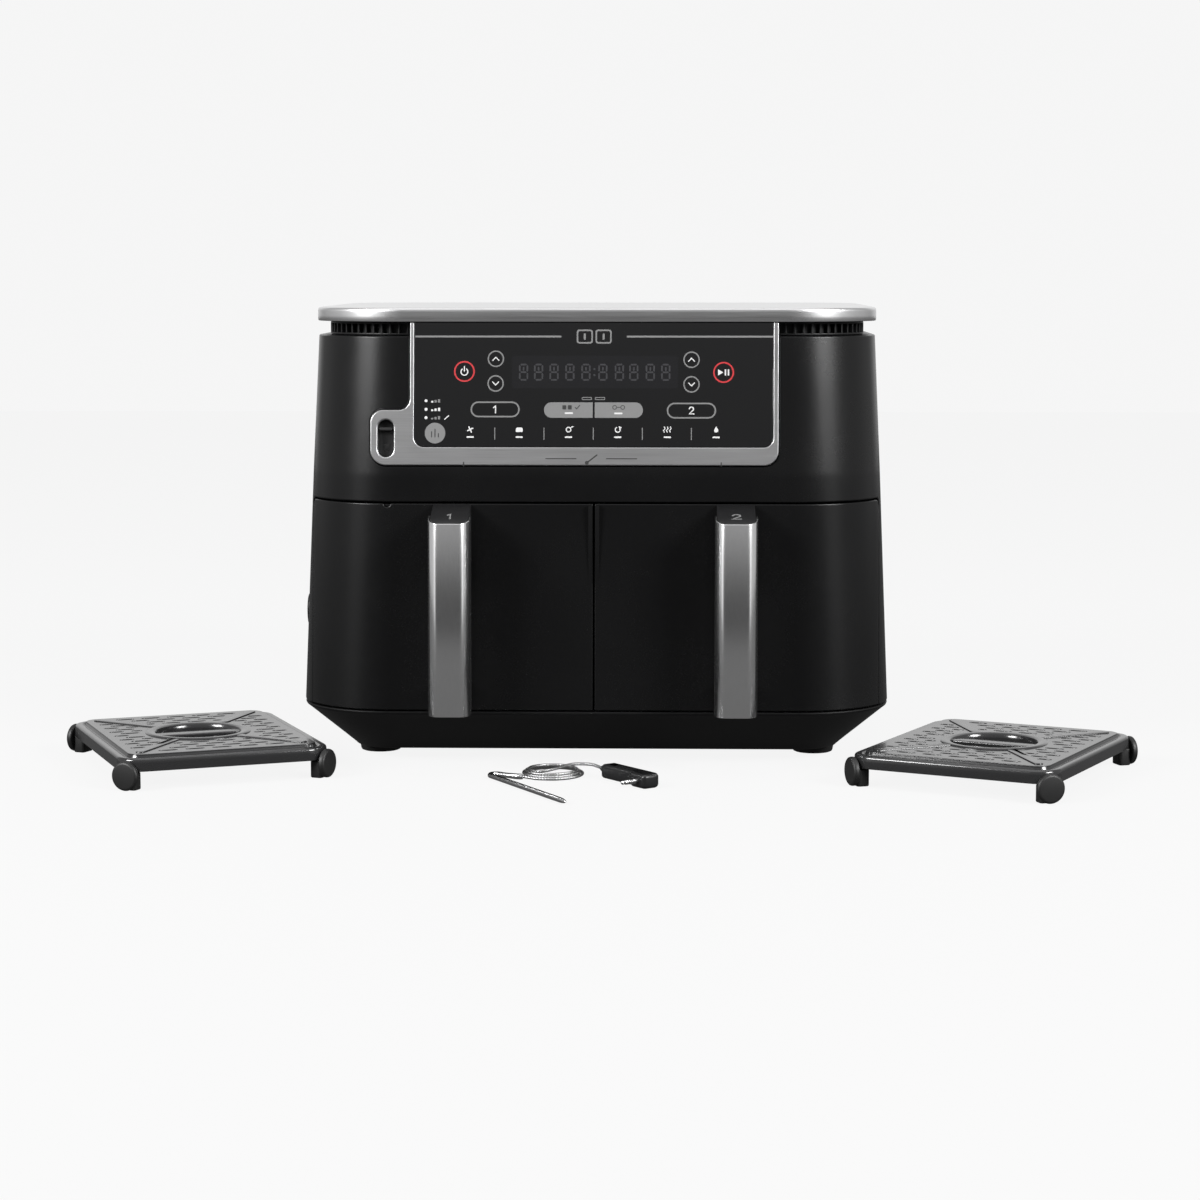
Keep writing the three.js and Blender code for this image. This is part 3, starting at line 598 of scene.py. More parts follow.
def satin_plastic(name, base, rough, grain=0.006, spread=0.06, spec=0.5):
    """Moulded plastic: fine spark-eroded grain, slow mottling of the gloss, faint colour drift."""
    k = Look(name, base, rough)
    k.b.inputs["Specular IOR Level"].default_value = spec
    fine = k.noise(2600, 2.0, rough=0.6)
    slow = k.noise(14, 4.0)
    mid = k.noise(220, 3.0)
    k.rough(k.ramp(k.math("ADD", slow, k.math("MULTIPLY", mid, 0.35)), 0.4, 0.95, rough - spread * 0.5, rough + spread * 0.5))
    c, r = k.color_mix(slow, tuple(x * 0.88 for x in base), tuple(x * 1.14 for x in base))
    k.base(c)
    k.bump(fine, grain)
    k.bump(mid, grain * 0.5, 0.35)
    return k.m


def brushed(name, base, rough, along=(1, 60, 60), scale=40, depth=0.0022, spread=0.12, aniso=0.35, tone=0.16):
    """Brushed metal: long hair lines along one direction, in colour, gloss and height."""
    k = Look(name, base, rough, 1.0, Anisotropic=aniso)
    hair = k.noise(scale, 5.0, along, 0.75)
    hair2 = k.noise(scale * 2.7, 4.0, (along[0] * 0.6, along[1] * 1.3, along[2] * 1.3), 0.7)
    slow = k.noise(9, 3.0)
    mixed = k.math("ADD", k.math("MULTIPLY", hair, 0.6), k.math("MULTIPLY", hair2, 0.4))
    k.rough(k.ramp(k.math("ADD", mixed, k.math("MULTIPLY", slow, 0.25)), 0.35, 0.9, rough - spread * 0.6, rough + spread * 0.6))
    c, r = k.color_mix(mixed, tuple(x * (1 - tone) for x in base), tuple(min(1, x * (1 + tone * 0.7)) for x in base))
    r.color_ramp.elements[0].position = 0.3
    r.color_ramp.elements[1].position = 0.7
    k.base(c)
    k.bump(mixed, depth)
    return k.m


HOUSING = satin_plastic("moulded_black_satin", (0.0040, 0.0040, 0.0042), 0.265, 0.0012, 0.06, 0.30)
BASE_MAT = satin_plastic("textured_black", (0.005, 0.005, 0.0052), 0.44, 0.004, 0.08, 0.30)
DARK = satin_plastic("dark_interior", (0.006, 0.006, 0.0062), 0.6, 0.004)
STEEL_TOP = brushed("brushed_steel_top", (0.80, 0.80, 0.805), 0.31, (0.6, 70, 70), 30, 0.0015, 0.12, 0.0)
STEEL_GRIP = brushed("brushed_steel_grip", (0.92, 0.92, 0.925), 0.2, (90, 90, 0.35), 30, 0.0005, 0.06, 0.3, 0.08)

# ------------------------------------------------------------------ body surface
U1 = hw_of(175.0) - R_F
U2 = U1 + math.pi / 2 * R_F
U3 = U2 + (yr_of(175.0) - R_R) - (float(yf_of(175.0)) + R_F)
U4 = U3 + math.pi / 2 * R_R
U5 = U4 + hw_of(175.0) - R_R


def body_map(uv):
    """u runs round the body from the front's middle, positive towards +X; v is the height."""
    uv = np.asarray(uv, float)
    u, z = uv[:, 0], uv[:, 1]
    s = np.where(u < 0, -1.0, 1.0)
    a = np.abs(u)
    hw, yf, yr = hw_of(z), yf_of(z), yr_of(z)
    x = np.empty_like(a)
    y = np.empty_like(a)
    m = a <= U1
    x[m], y[m] = a[m] / U1 * (hw[m] - R_F), yf[m]
    m = (a > U1) & (a <= U2)
    t = (a[m] - U1) / (U2 - U1) * math.pi / 2
    x[m], y[m] = hw[m] - R_F + R_F * np.sin(t), yf[m] + R_F - R_F * np.cos(t)
    m = (a > U2) & (a <= U3)
    t = (a[m] - U2) / (U3 - U2)
    x[m], y[m] = hw[m], (yf[m] + R_F) * (1 - t) + (yr[m] - R_R) * t
    m = (a > U3) & (a <= U4)
    t = (a[m] - U3) / (U4 - U3) * math.pi / 2
    x[m], y[m] = hw[m] - R_R + R_R * np.cos(t), yr[m] - R_R + R_R * np.sin(t)
    m = a > U4
    t = (a[m] - U4) / (U5 - U4)
    x[m], y[m] = (hw[m] - R_R) * (1 - t), yr[m]
    return np.stack([s * x, y, z], 1)


def u_of(x, z):
    """The surface coordinate of a front point seen at x."""
    s = -1.0 if x < 0 else 1.0
    a = abs(x)
    w = hw_of(z) - R_F
    if a <= w:
        return s * a * U1 / w
    return s * (U1 + math.asin(min(1.0, (a - w) / R_F)) / (math.pi / 2) * (U2 - U1))


def body_grid(u0, u1, z0, z1, dz=12.0, flat=16.0, curve=4.0):
    us = []
    for lo, hi, st in ((-U5, -U4, flat), (-U4, -U3, curve), (-U3, -U2, flat), (-U2, -U1, curve), (-U1, U1, flat), (U1, U2, curve), (U2, U3, flat), (U3, U4, curve), (U4, U5, flat)):
        us += list(np.linspace(lo, hi, max(2, int(round((hi - lo) / st)) + 1)))
    us = np.unique(np.round([u for u in us if u0 <= u <= u1], 4))
    zs = list(np.arange(math.ceil(z0 / dz) * dz, z1, dz)) + [SEAM_HIGH + 3, CREASE - 3.5, CREASE - 1.6, CREASE - 0.6, CREASE, CREASE + 0.6, CREASE + 1.6, CREASE + 3.5]
    zs = np.unique([z for z in zs if z0 <= z <= z1])
    # drop rows that crowd the crease rows
    keep = [z for z in zs if abs(z - CREASE) < 3.6 or abs(z - CREASE) > 8]
    gu, gz = np.meshgrid(us, keep)
    return np.stack([gu.ravel(), gz.ravel()], 1)


def seam_curve(x, z0, z1, n=14):
    return [(u_of(x, z), z) for z in np.linspace(z0, z1, n)]


BACK_S = np.array([0.0, -7.0, 268.5]) / math.hypot(7, 268.5)
BACK_N = np.array([0.0, BACK_S[2], -BACK_S[1]])
SLOPE_T = np.array([0.0, 12.0, 99.0]) / math.hypot(12, 99)
SLOPE_N = np.array([0.0, -SLOPE_T[2], SLOPE_T[1]])


def slope_pt(x, s, w=0.0):
    """x and s in the plane of the control slope, w out of it."""
    x, s = np.asarray(x, float), np.asarray(s, float)
    p = np.array([0.0, -169.0, 211.0]) + np.multiply.outer(s, SLOPE_T) + np.multiply.outer(np.broadcast_to(w, s.shape), SLOPE_N)
    p[..., 0] += x
    return p


BEZEL_X, LOBE_X, BEZEL_S0, BEZEL_S1, LOBE_S = 131.9, -160.2, 7.05, 109.3, 46.6
PANEL_X, PANEL_S = (-128.6, 127.8), 20.35


def bezel_poly(g, top, n=8):
    return filleted([
        (LOBE_X - g, BEZEL_S0 - g, 11 + g), (BEZEL_X + g, BEZEL_S0 - g, 10.5 + g), (BEZEL_X + g, top, 0.8),
        (-BEZEL_X - g, top, 0.8), (-BEZEL_X - g, LOBE_S + g, 8 - g), (LOBE_X - g, LOBE_S + g, 9 + g)], n)


def slope_to_uv(poly):
    """Points given as x, s on the slope, as surface coordinates."""
    z = CREASE + poly[:, 1] * SLOPE_T[2]
    return np.array([(u_of(x, zz), zz) for x, zz in zip(poly[:, 0], z)])


# ------------------------------------------------------------------ housing
def back_edge(s):
    """The edge of the shell at the middle of the back, round the rear window, which each half keeps as a notch."""
    def ub(x, z):
        return s * (U4 + (U5 - U4) * (1 - x / (hw_of(z) - R_R)))
    far = s * (U5 + 1.1)
    z0, z1 = 41.5 + 26 * BACK_S[2], 41.5 + 245 * BACK_S[2]
    cor = filleted([(far, z0, 0), (ub(140, z0), z0, 8), (ub(140, z1), z1, 8), (far, z1, 0)], 6)
    run = [(far, 41.8)] + [tuple(p) for p in cor] + [(far, SHOULDER)]
    return run if s > 0 else run[::-1]


def build_housing():
    me = Mesh()
    xs = 207.4
    top = 191.8
    # the notch for the bezel, from the top edge
    notch = slope_to_uv(dense(bezel_poly(0.5, 130), 3.0))
    pts = []
    pts += back_edge(-1) + [(u_of(-xs, 41.8), 41.8)]
    pts += [(u, z) for u, z in seam_curve(-xs, 46, top - 6.5, 16)]
    cor = filleted([(u_of(-xs, top - 6.0), top - 6.0, 0), (u_of(-xs, top), top, 5.2), (u_of(-xs, top) + 12, top, 0)], 8)
    pts += [tuple(p) for p in cor[1:-1]]
    pts += [tuple((-p[0], p[1])) for p in cor[1:-1][::-1]]
    pts += [(-u, z) for u, z in seam_curve(-xs, 46, top - 6.5, 16)[::-1]]
    pts += [(u_of(xs, 41.8), 41.8)] + back_edge(1)
    # top edge to the notch, round it and on
    nz = notch[notch[:, 1] <= SHOULDER - 0.3]
    right_top = (u_of(BEZEL_X + 0.5, SHOULDER), SHOULDER)
    left_top = (u_of(-BEZEL_X - 0.5, SHOULDER), SHOULDER)
    # the notch polygon runs anticlockwise: left-low, right-low, right-top, left-top, lobe
    start = int(np.argmax(notch[:, 0] * (notch[:, 1] > 300)))
    order = np.roll(np.arange(len(notch)), -start)
    seq = notch[order][::-1]
    seq = seq[seq[:, 1] < SHOULDER - 0.3]
    # walk from the right side down, along the bottom to the left and up
    pts += [right_top]
    right = [p for p in seq]
    i0 = int(np.argmin([abs(p[0] - right_top[0]) + abs(p[1] - SHOULDER) for p in right]))
    right = right[i0:] + right[:i0]
    if right[1][0] < right[0][0] - 30:
        right = [right[0]] + right[1:][::-1]
    pts += [tuple(p) for p in right]
    pts += [left_top]
    outer = np.array(pts)
    # drop duplicates
    keep = [0]
    for i in range(1, len(outer)):
        if np.linalg.norm(outer[i] - outer[keep[-1]]) > 0.05:
            keep.append(i)
    outer = outer[keep]
    grid = body_grid(-U5, U5, 42, 310, 12, 14, 3.6)
    holes = [caddy_hole()]
    sheet(me, body_map, outer, holes, r=1.1, thick=2.6, ds=3.2, nf=5, grid=grid, hole_r=0.8)
    # the shoulder: a flat ledge that runs in under the air intake
    def ring(inset, z):
        return ring_at(SHOULDER, inset, z)
    rings = [ring(0.9, 309.2), ring(1.3, 309.75), ring(2.0, 310.0), ring(17.0, 310.0), ring(17.0, 307.6), ring(2.0, 307.6)]
    loft(me, rings, False, False)
    o = me.make("housing", HOUSING)
    return o


def ring_at(zref, inset, z, nf=24, nr=18, straight=0):
    hw, yf, yr = hw_of(zref) - inset, float(yf_of(zref)) + inset, yr_of(zref) - inset
    f, r = R_F - inset, R_R - inset
    p = np.concatenate([
        arc(hw - f, yf + f, f, f, -90, 0, nf), arc(hw - r, yr - r, r, r, 0, 90, nr),
        arc(-hw + r, yr - r, r, r, 90, 180, nr), arc(-hw + f, yf + f, f, f, 180, 270, nf)])
    return np.column_stack([p, np.full(len(p), z)])


def caddy_hole(g=0.4):
    """The capsule opening in the left side, as surface coordinates."""
    y0, y1, z0, z1 = 15 - 75 - g, 15 + 75 + g, 86.5 - g, 112.5 + g
    p = rrect(y0, y1, z0, z1, 12.9 + g, 8)
    out = []
    for y, z in p:
        a, b = float(yf_of(z)) + R_F, yr_of(z) - R_R
        out.append((-(U2 + (y - a) / (b - a) * (U3 - U2)), z))
    return np.array(out)


housing = build_housing()
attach(housing, "appliance")
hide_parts("housing_shell")


# ------------------------------------------------------------------ drawer fronts
def drawer_poly(side):
    """Right-hand drawer front as surface coordinates; side -1 mirrors it."""
    z0, z1, xs = 42.3, 190.7, 207.0
    pts = [(u_of(0.6, z0), z0, 0.8), (u_of(xs, z0), z0, 1.5)]
    pts += [(u, z, 0) for u, z in seam_curve(xs, z0 + 6, z1 - 8, 14)]
    pts += [(u_of(xs, z1), z1, 5.6)]
    if side < 0:
        # cable notch, a half round in the top edge
        un = u_of(148.5, z1)
        for a in np.linspace(0, -180, 11):
            pts.append((un + 2.6 * math.cos(math.radians(a)), z1 + 2.6 * math.sin(math.radians(a)), 0))
    pts += [(u_of(0.6, z1), z1, 0.8)]
    p = filleted(pts, 7)
    if side < 0:
        p = p * np.array([-1, 1])
        p = p[::-1]
    return p


def build_drawer(side):
    me = Mesh()
    sheet(me, body_map, drawer_poly(side), (), r=0.9, thick=3.5, ds=3.0, nf=5, grid=body_grid(0 if side > 0 else -U2, U2 if side > 0 else 0, 44, 190, 12, 14, 3.6))
    # the returns that run back to the inner panel: floor, ceiling and the centre wall
    def front_edge(z, x0, x1, inset):
        out = []
        w = hw_of(z) - R_F
        for x in np.linspace(x0, x1, 40):
            if x <= w:
                out.append((x, float(yf_of(z)) + inset))
            else:
                q = min(1.0, (x - w) / (R_F - inset))
                out.append((x, float(yf_of(z)) + R_F - (R_F - inset) * math.sqrt(1 - q * q)))
        return out
    for z0, z1 in ((42.7, 45.6), (187.2, 190.2)):
        zm = z0
        top = z0 > 100
        x1 = 190.5 if top else 203.0
        edge = front_edge(zm, 1.2, x1, 2.4)
        edge = [p for p in edge if p[1] < -143.5]
        poly = edge + [(edge[-1][0], -143.4), (1.2, -143.4)]
        poly = np.array(poly)
        if side < 0:
            poly = (poly * np.array([-1, 1]))[::-1]
        prism(me, poly, z0, z1, 0.4, 2)
    wall = np.array([(0.9, float(yf_of(60)) + 4), (3.9, float(yf_of(60)) + 4), (3.9, -143.4), (0.9, -143.4)])
    if side < 0:
        wall = (wall * np.array([-1, 1]))[::-1]
    prism(me, wall, 43.2, 189.8, 0.4, 2)
    return me


for side, sn in ((-1, "left"), (1, "right")):
    o = build_drawer(side).make("drawer_face_" + sn, HOUSING)
    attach(o, "drawer_" + sn)
    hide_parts("drawer_front_" + sn)


# ------------------------------------------------------------------ base pan and top plate
def build_base():
    me = Mesh()
    def g(inset, z):
        return ring_at(SEAM_LOW, inset, z)
    prof = [(39.2, 8.0), (38.2, 8.15), (37.5, 8.6), (37.0, 9.2), (30, 15.1), (22, 21.7), (14, 28.3), (6, 34.9), (2.6, 37.7), (1.5, 38.5), (0.9, 39.0), (0.5, 39.7), (0.25, 40.4), (0.35, 41.0), (0.75, 41.2), (2.6, 41.2), (3.0, 40.8), (3.2, 38.6), (36, 11.2), (38, 10.6)]
    loft(me, [g(i, z) for i, z in prof], True, True)
    return me.make("base_tray", BASE_MAT, 28)


base = build_base()
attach(base, "appliance")
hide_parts("base_pan")


def build_top():
    me = Mesh()
    prof = [(2.2, 321.6), (1.6, 320.4), (1.0, 320.1), (0.0, 320.1), (-0.55, 320.3), (-0.8, 320.8), (-0.8, 324), (-0.8, 327.2), (-0.74, 328.0), (-0.5, 328.75), (-0.1, 329.35), (0.5, 329.75), (1.3, 329.96), (2.2, 330.0), (6, 330.0), (40, 330.0)]
    loft(me, [ring_at(SHOULDER, i, z, 30, 22) for i, z in prof], True, True)
    return me.make("steel_lid", STEEL_TOP, 30)


top = build_top()
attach(top, "appliance")
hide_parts("top_plate")

# ------------------------------------------------------------------ more finishes
BEZEL_MAT = brushed("brushed_silver_bezel", (0.56, 0.56, 0.565), 0.36, (0.6, 70, 70), 30, 0.0008, 0.1, 0.2)
GRIP_BLACK = satin_plastic("grip_black", (0.010, 0.010, 0.0105), 0.34, 0.002, 0.06)
RUBBER = satin_plastic("soft_black_silicone", (0.008, 0.008, 0.008), 0.5, 0.003, 0.1)
SHEET_STEEL = brushed("aluminised_sheet", (0.46, 0.46, 0.465), 0.42, (1, 30, 30), 60, 0.003, 0.14, 0.1)
CERAMIC = satin_plastic("nonstick_coating", (0.019, 0.019, 0.0196), 0.17, 0.0006, 0.06, 0.72)
HEATER_MAT = satin_plastic("heater_sheath", (0.055, 0.047, 0.042), 0.5, 0.006, 0.1)
BOARD_MAT = satin_plastic("board_green", (0.012, 0.045, 0.022), 0.45, 0.004, 0.08)
MOTOR_MAT = brushed("motor_can", (0.36, 0.36, 0.365), 0.45, (30, 30, 1), 60, 0.003, 0.14, 0.1)
PROBE_STEEL = brushed("probe_steel", (0.62, 0.62, 0.625), 0.24, (60, 60, 60), 20, 0.0008, 0.08, 0.0)


def glass_black():
    k = Look("gloss_black_panel", (0.0062, 0.0062, 0.0066), 0.13, 0.0)
    k.b.inputs["Coat Weight"].default_value = 0.25
    k.b.inputs["Coat Roughness"].default_value = 0.06
    slow = k.noise(11, 4.0)
    smear = k.noise(60, 3.0, (1, 0.35, 0.35))
    k.rough(k.ramp(k.math("ADD", slow, k.math("MULTIPLY", smear, 0.4)), 0.45, 1.0, 0.10, 0.20))
    k.bump(k.noise(9, 2.0), 0.006)
    return k.m


PANEL_MAT = glass_black()


def ink(name, base, rough=0.45, painted_glow=0.0):
    k = Look(name, base, rough)
    c, r = k.color_mix(k.noise(900, 2.0), tuple(x * 0.93 for x in base), tuple(min(1, x * 1.05) for x in base))
    k.base(c)
    # A value above zero makes the print emit light: a painted glow, since the print is no lamp.
    if painted_glow:
        k.link(c, k.b.inputs["Emission Color"])
        k.b.inputs["Emission Strength"].default_value = painted_glow
    k.rough(k.ramp(k.noise(50, 2.0), 0.3, 0.7, rough - 0.05, rough + 0.05))
    return k.m


# The white and red print carry a faint emission, a painted glow that brightens them.
INK_WHITE = ink("print_white", (0.60, 0.60, 0.60), 0.4, 0.06)
INK_GREY = ink("print_grey", (0.175, 0.175, 0.175), 0.45)
INK_PALE = ink("print_silver", (0.19, 0.19, 0.19), 0.38)
INK_DARK = ink("print_dark", (0.03, 0.03, 0.03), 0.5)
INK_RED = ink("print_red", (0.46, 0.035, 0.04), 0.4, 0.04)
INK_GHOST = ink("ghost_segments", (0.040, 0.040, 0.043), 0.25)
GLASS_DARK = ink("display_window", (0.010, 0.010, 0.011), 0.16)


# ------------------------------------------------------------------ control bezel, panel and print
def slope_map(w):
    return lambda uv: slope_pt(uv[:, 0], uv[:, 1], w)


def put(mesh, name, mats, body, nodes, slot, smooth=35):
    o = mesh.make(name, mats, smooth)
    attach(o, body)
    if nodes:
        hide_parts(*nodes)
    return o


JX, JS0, JS1, JR = -149.2, 12.9, 39.7, 5.75
me = Mesh()
g = 0.3
bez = filleted([
    (LOBE_X, BEZEL_S0, 11), (BEZEL_X, BEZEL_S0, 10.5), (BEZEL_X, BEZEL_S1, 0.6), (PANEL_X[1] + g, BEZEL_S1, 0.6),
    (PANEL_X[1] + g, PANEL_S - g, 6.9), (PANEL_X[0] - g, PANEL_S - g, 6.9), (PANEL_X[0] - g, BEZEL_S1, 0.6),
    (-BEZEL_X, BEZEL_S1, 0.6), (-BEZEL_X, LOBE_S, 8), (LOBE_X, LOBE_S, 9)], 10)
jack = rrect(JX - JR, JX + JR, JS0, JS1, JR - 0.01, 9)
sheet(me, slope_map(1.6), bez, [jack], r=0.8, thick=5.4, ds=4.0, nf=4, hole_r=1.1)
put(me, "bezel", BEZEL_MAT, "appliance", ["control_bezel"], "bezel")
me = Mesh()
sheet(me, slope_map(1.0), filleted([(PANEL_X[0], PANEL_S, 6.6), (PANEL_X[1], PANEL_S, 6.6), (PANEL_X[1], BEZEL_S1, 0.6), (PANEL_X[0], BEZEL_S1, 0.6)], 10), (), r=0.35, thick=4.8, ds=4.0, nf=3)
put(me, "touch_panel", PANEL_MAT, "appliance", ["control_panel"], "panel")

# the cover behind the slot, with its thumb ridge
me = Mesh()
S3 = lambda w: (lambda p, z: slope_pt(p[:, 0], p[:, 1], z))
prism(me, rrect(JX - 6.8, JX + 6.8, 12.2, 40.4, 1.5, 4), -6.4, -4.6, 0.3, 2, S3(0))
prism(me, rrect(JX - 4.6, JX + 4.6, 32, 34.2, 0.8, 4), -5, 0.3, 0.35, 3, S3(0))
prism(me, rrect(JX - 2.4, JX + 2.4, 18, 22.4, 0.6, 4), -5, -4.25, 0.15, 2, S3(0))
put(me, "socket_shutter", DARK, "socket_cover", ["socket_cover"], "grip")


def px(x, y):
    """Panel print layout: its drawing units to x, s on the slope."""
    return ((x - 595.6) / 1.385, (358 - (y - 270) / 1.385 - 211) / SLOPE_T[2])


PX = 1 / 1.385


def shapes(mesh, loops_list, w, thick=0.05):
    """Thin raised print: each entry is [outer, hole, ...] in drawing units."""
    for loops in loops_list:
        lp = []
        for i, l in enumerate(loops):
            l = np.array([px(*p) for p in l])
            if (area2(l) > 0) != (i == 0):
                l = l[::-1]
            lp.append(l)
        vs, tri, where, nb = triangulate(lp)
        top = slope_pt(vs[:, 0], vs[:, 1], w)
        mesh.add(W(top), [list(t) for t in tri], [[SLOPE_N] * 3 for t in tri])
        for l in lp:
            n = len(l)
            a, b = slope_pt(l[:, 0], l[:, 1], w - thick), slope_pt(l[:, 0], l[:, 1], w)
            mesh.add(W(np.concatenate([a, b])), [[i, (i + 1) % n, n + (i + 1) % n, n + i] for i in range(n)])


def disc(x, y, r, n=40):
    return arc(x, y, r, r, 0, 360, n)[:-1]


def ring2(x, y, r, t, n=44):
    return [disc(x, y, r + t / 2, n), disc(x, y, r - t / 2, n)]


def box2(x0, y0, x1, y1, r=0.0):
    if r:
        return rrect(x0, x1, y0, y1, r, 6)
    return np.array([(x0, y0), (x1, y0), (x1, y1), (x0, y1)], float)


def stroke(pts, t, ends=5):
    """A line with round ends as one outline."""
    pts = np.array(pts, float)
    d = np.diff(pts, axis=0)
    d /= np.linalg.norm(d, axis=1)[:, None]
    nrm = np.stack([-d[:, 1], d[:, 0]], 1)
    left, right = [], []
    for i, p in enumerate(pts):
        if i == 0:
            m = nrm[0]
        elif i == len(pts) - 1:
            m = nrm[-1]
        else:
            m = nrm[i - 1] + nrm[i]
            m = m / max(0.5, (m @ m) / 2)
        left.append(p + m * t / 2)
        right.append(p - m * t / 2)
    a0 = math.degrees(math.atan2(nrm[-1][1], nrm[-1][0]))
    cap1 = arc(pts[-1][0], pts[-1][1], t / 2, t / 2, a0, a0 - 180, ends)[1:-1]
    b0 = math.degrees(math.atan2(-nrm[0][1], -nrm[0][0]))
    cap0 = arc(pts[0][0], pts[0][1], t / 2, t / 2, b0, b0 - 180, ends)[1:-1]
    return np.concatenate([left, cap1, right[::-1], cap0])


grey, white, red, silver, dark, ghost, window = [], [], [], [], [], [], []
# power and start rings
for cx, cy in ((467, 371.5), (723.7, 372.2)):
    red.append(ring2(cx, cy, 9.6, 1.5))
white.append([stroke(arc(467, 371.8, 3.4, 3.4, -50, 230, 18), 1.1)])
white.append([stroke([(467, 366.6), (467, 371.0)], 1.1)])
white.append([np.array([(718.2, 369.2), (723.4, 372.2), (718.2, 375.2)])])
white.append([box2(724.8, 369.2, 726.2, 375.2)])
white.append([box2(727.8, 369.2, 729.2, 375.2)])
# arrow keys
for cx, cy, up in ((498.2, 359, 1), (498, 383.3, -1), (692, 359.8, 1), (692, 384, -1)):
    grey.append(ring2(cx, cy, 7.5, 1.3))
    white.append([stroke([(cx - 3.0, cy + 1.5 * up), (cx, cy - 1.5 * up), (cx + 3.0, cy + 1.5 * up)], 1.0)])
# zone keys
for cx, cy, d in ((497.6, 408.8, "1"), (692, 409.8, "2")):
    o, i = box2(cx - 24.4, cy - 7.8, cx + 24.4, cy + 7.8, 7.7), box2(cx - 22.9, cy - 6.3, cx + 22.9, cy + 6.3, 6.2)
    grey.append([o, i])
    if d == "1":
        white.append([stroke([(cx - 1.6, cy - 1.8), (cx + 0.4, cy - 3.3), (cx + 0.4, cy + 3.4)], 1.2)])
    else:
        white.append([stroke([*arc(cx, cy - 1.4, 2.1, 2.1, 190, 380, 8), (cx - 2.2, cy + 3.2), (cx + 2.5, cy + 3.2)], 1.15)])
# the wide key in the middle
silver.append([filleted([(546.1, 401.8, 7.4), (594.3, 401.8, 0.4), (594.3, 417, 0.4), (546.1, 417, 7.4)], 8)])
silver.append([filleted([(596.3, 401.8, 0.4), (644, 401.8, 7.4), (644, 417, 7.4), (596.3, 417, 0.4)], 8)])
white.append([box2(566.6, 411.6, 574.8, 413.2, 0.7)])
white.append([box2(615.6, 411.8, 623.8, 413.4, 0.7)])
for x in (566.2, 571.6):
    dark.append([box2(x - 1.9, 404.6, x + 1.9, 408.8, 0.6)])
dark.append([stroke([(577, 406.8), (578.4, 408.2), (581.4, 404.8)], 0.9)])
dark.append(ring2(616.0, 406.7, 1.9, 0.8, 20))
dark.append(ring2(624.0, 406.7, 1.9, 0.8, 20))
dark.append([stroke([(618.8, 406.7), (621.2, 406.7)], 0.8)])
# the setting dots with their bars
for i, y in enumerate((400.4, 408.8, 417.0)):
    white.append([disc(429, y, 1.5, 18)])
    n = 3 - i if i < 2 else 0
    for j in range(3):
        h = (1.6, 2.4, 3.2)[j]
        tgt = white if j < (1 if i == 0 else 3 if i == 1 else 0) else grey
        tgt.append([box2(434 + j * 3.4, y + 1.7 - h, 436.2 + j * 3.4, y + 1.7)])
    if i == 2:
        white.append([stroke([(447.5, y + 1.5), (451.5, y - 1.9)], 1.0)])
# the round preset key
silver.append([disc(438, 432.2, 10.2, 44)])
dark.append([stroke([(434.6, 436.0), (434.6, 430.8)], 1.0)])
dark.append([stroke([(438, 436.0), (438, 428.4)], 1.0)])
dark.append([stroke([(441.4, 436.0), (441.4, 432.6)], 1.0)])
# function keys: pictograms over their indicator bars
for i, x in enumerate((472.9, 521.6, 570.4, 619.2, 668.2, 716.5)):
    y = 428.6
    white.append([box2(x - 3.6, 435.2, x + 3.6, 436.8, 0.8)])
    if i == 0:
        for k in range(4):
            a = math.radians(45 + 90 * k)
            white.append([stroke([(x + 0.6 * math.cos(a), y + 0.6 * math.sin(a)), (x + 2.9 * math.cos(a + 0.35), y + 2.9 * math.sin(a + 0.35))], 1.25)])
    elif i == 1:
        white.append([filleted([(x - 3.4, y + 2.4, 0.4), (x - 3.4, y - 2.0, 1.7), (x + 3.4, y - 2.0, 1.7), (x + 3.4, y + 2.4, 0.4)], 4)])
    elif i == 2:
        white.append(ring2(x, y, 2.3, 1.0, 22))
        white.append([stroke([(x + 2.0, y - 2.0), (x + 4.6, y - 3.0)], 1.0)])
    elif i == 3:
        white.append([stroke(arc(x, y, 2.5, 2.5, -30, 240, 14), 1.0)])
        white.append([np.array([(x + 0.9, y - 3.4), (x + 4.0, y - 2.2), (x + 1.6, y + 0.4)])])
    elif i == 4:
        for k in (-3, 0, 3):
            white.append([stroke([(x + k, y - 2.8), (x + k + 0.9, y - 1.2), (x + k - 0.9, y + 0.8), (x + k, y + 2.4)], 0.85)])
    else:
        d = [(x, y - 3.3)] + [tuple(p) for p in arc(x, y + 0.6, 2.1, 2.1, -25, 205, 12)]
        white.append([np.array(d)])
for x in (497.3, 546.1, 594.9, 643.5, 692):
    grey.append([box2(x - 0.45, 426.7, x + 0.45, 438.6)])
# the two small zone squares over the wide key, in place of a line of text
for x in (588.5, 601.5):
    grey.append([box2(x - 5, 396.6, x + 5, 399.4, 0.9), box2(x - 4.3, 397.3, x + 4.3, 398.7, 0.5)])
# silver lines and a plain two-drawer mark between them
silver.append([box2(418, 336.2, 563, 338.0)])
silver.append([box2(628, 336.2, 773, 338.0)])
for x in (586.3, 604.9):
    silver.append([box2(x - 8.0, 330.2, x + 8.0, 344.0, 2.6), box2(x - 6.5, 331.7, x + 6.5, 342.5, 1.6)])
    silver.append([box2(x - 1.0, 334.0, x + 1.0, 340.2, 0.8)])
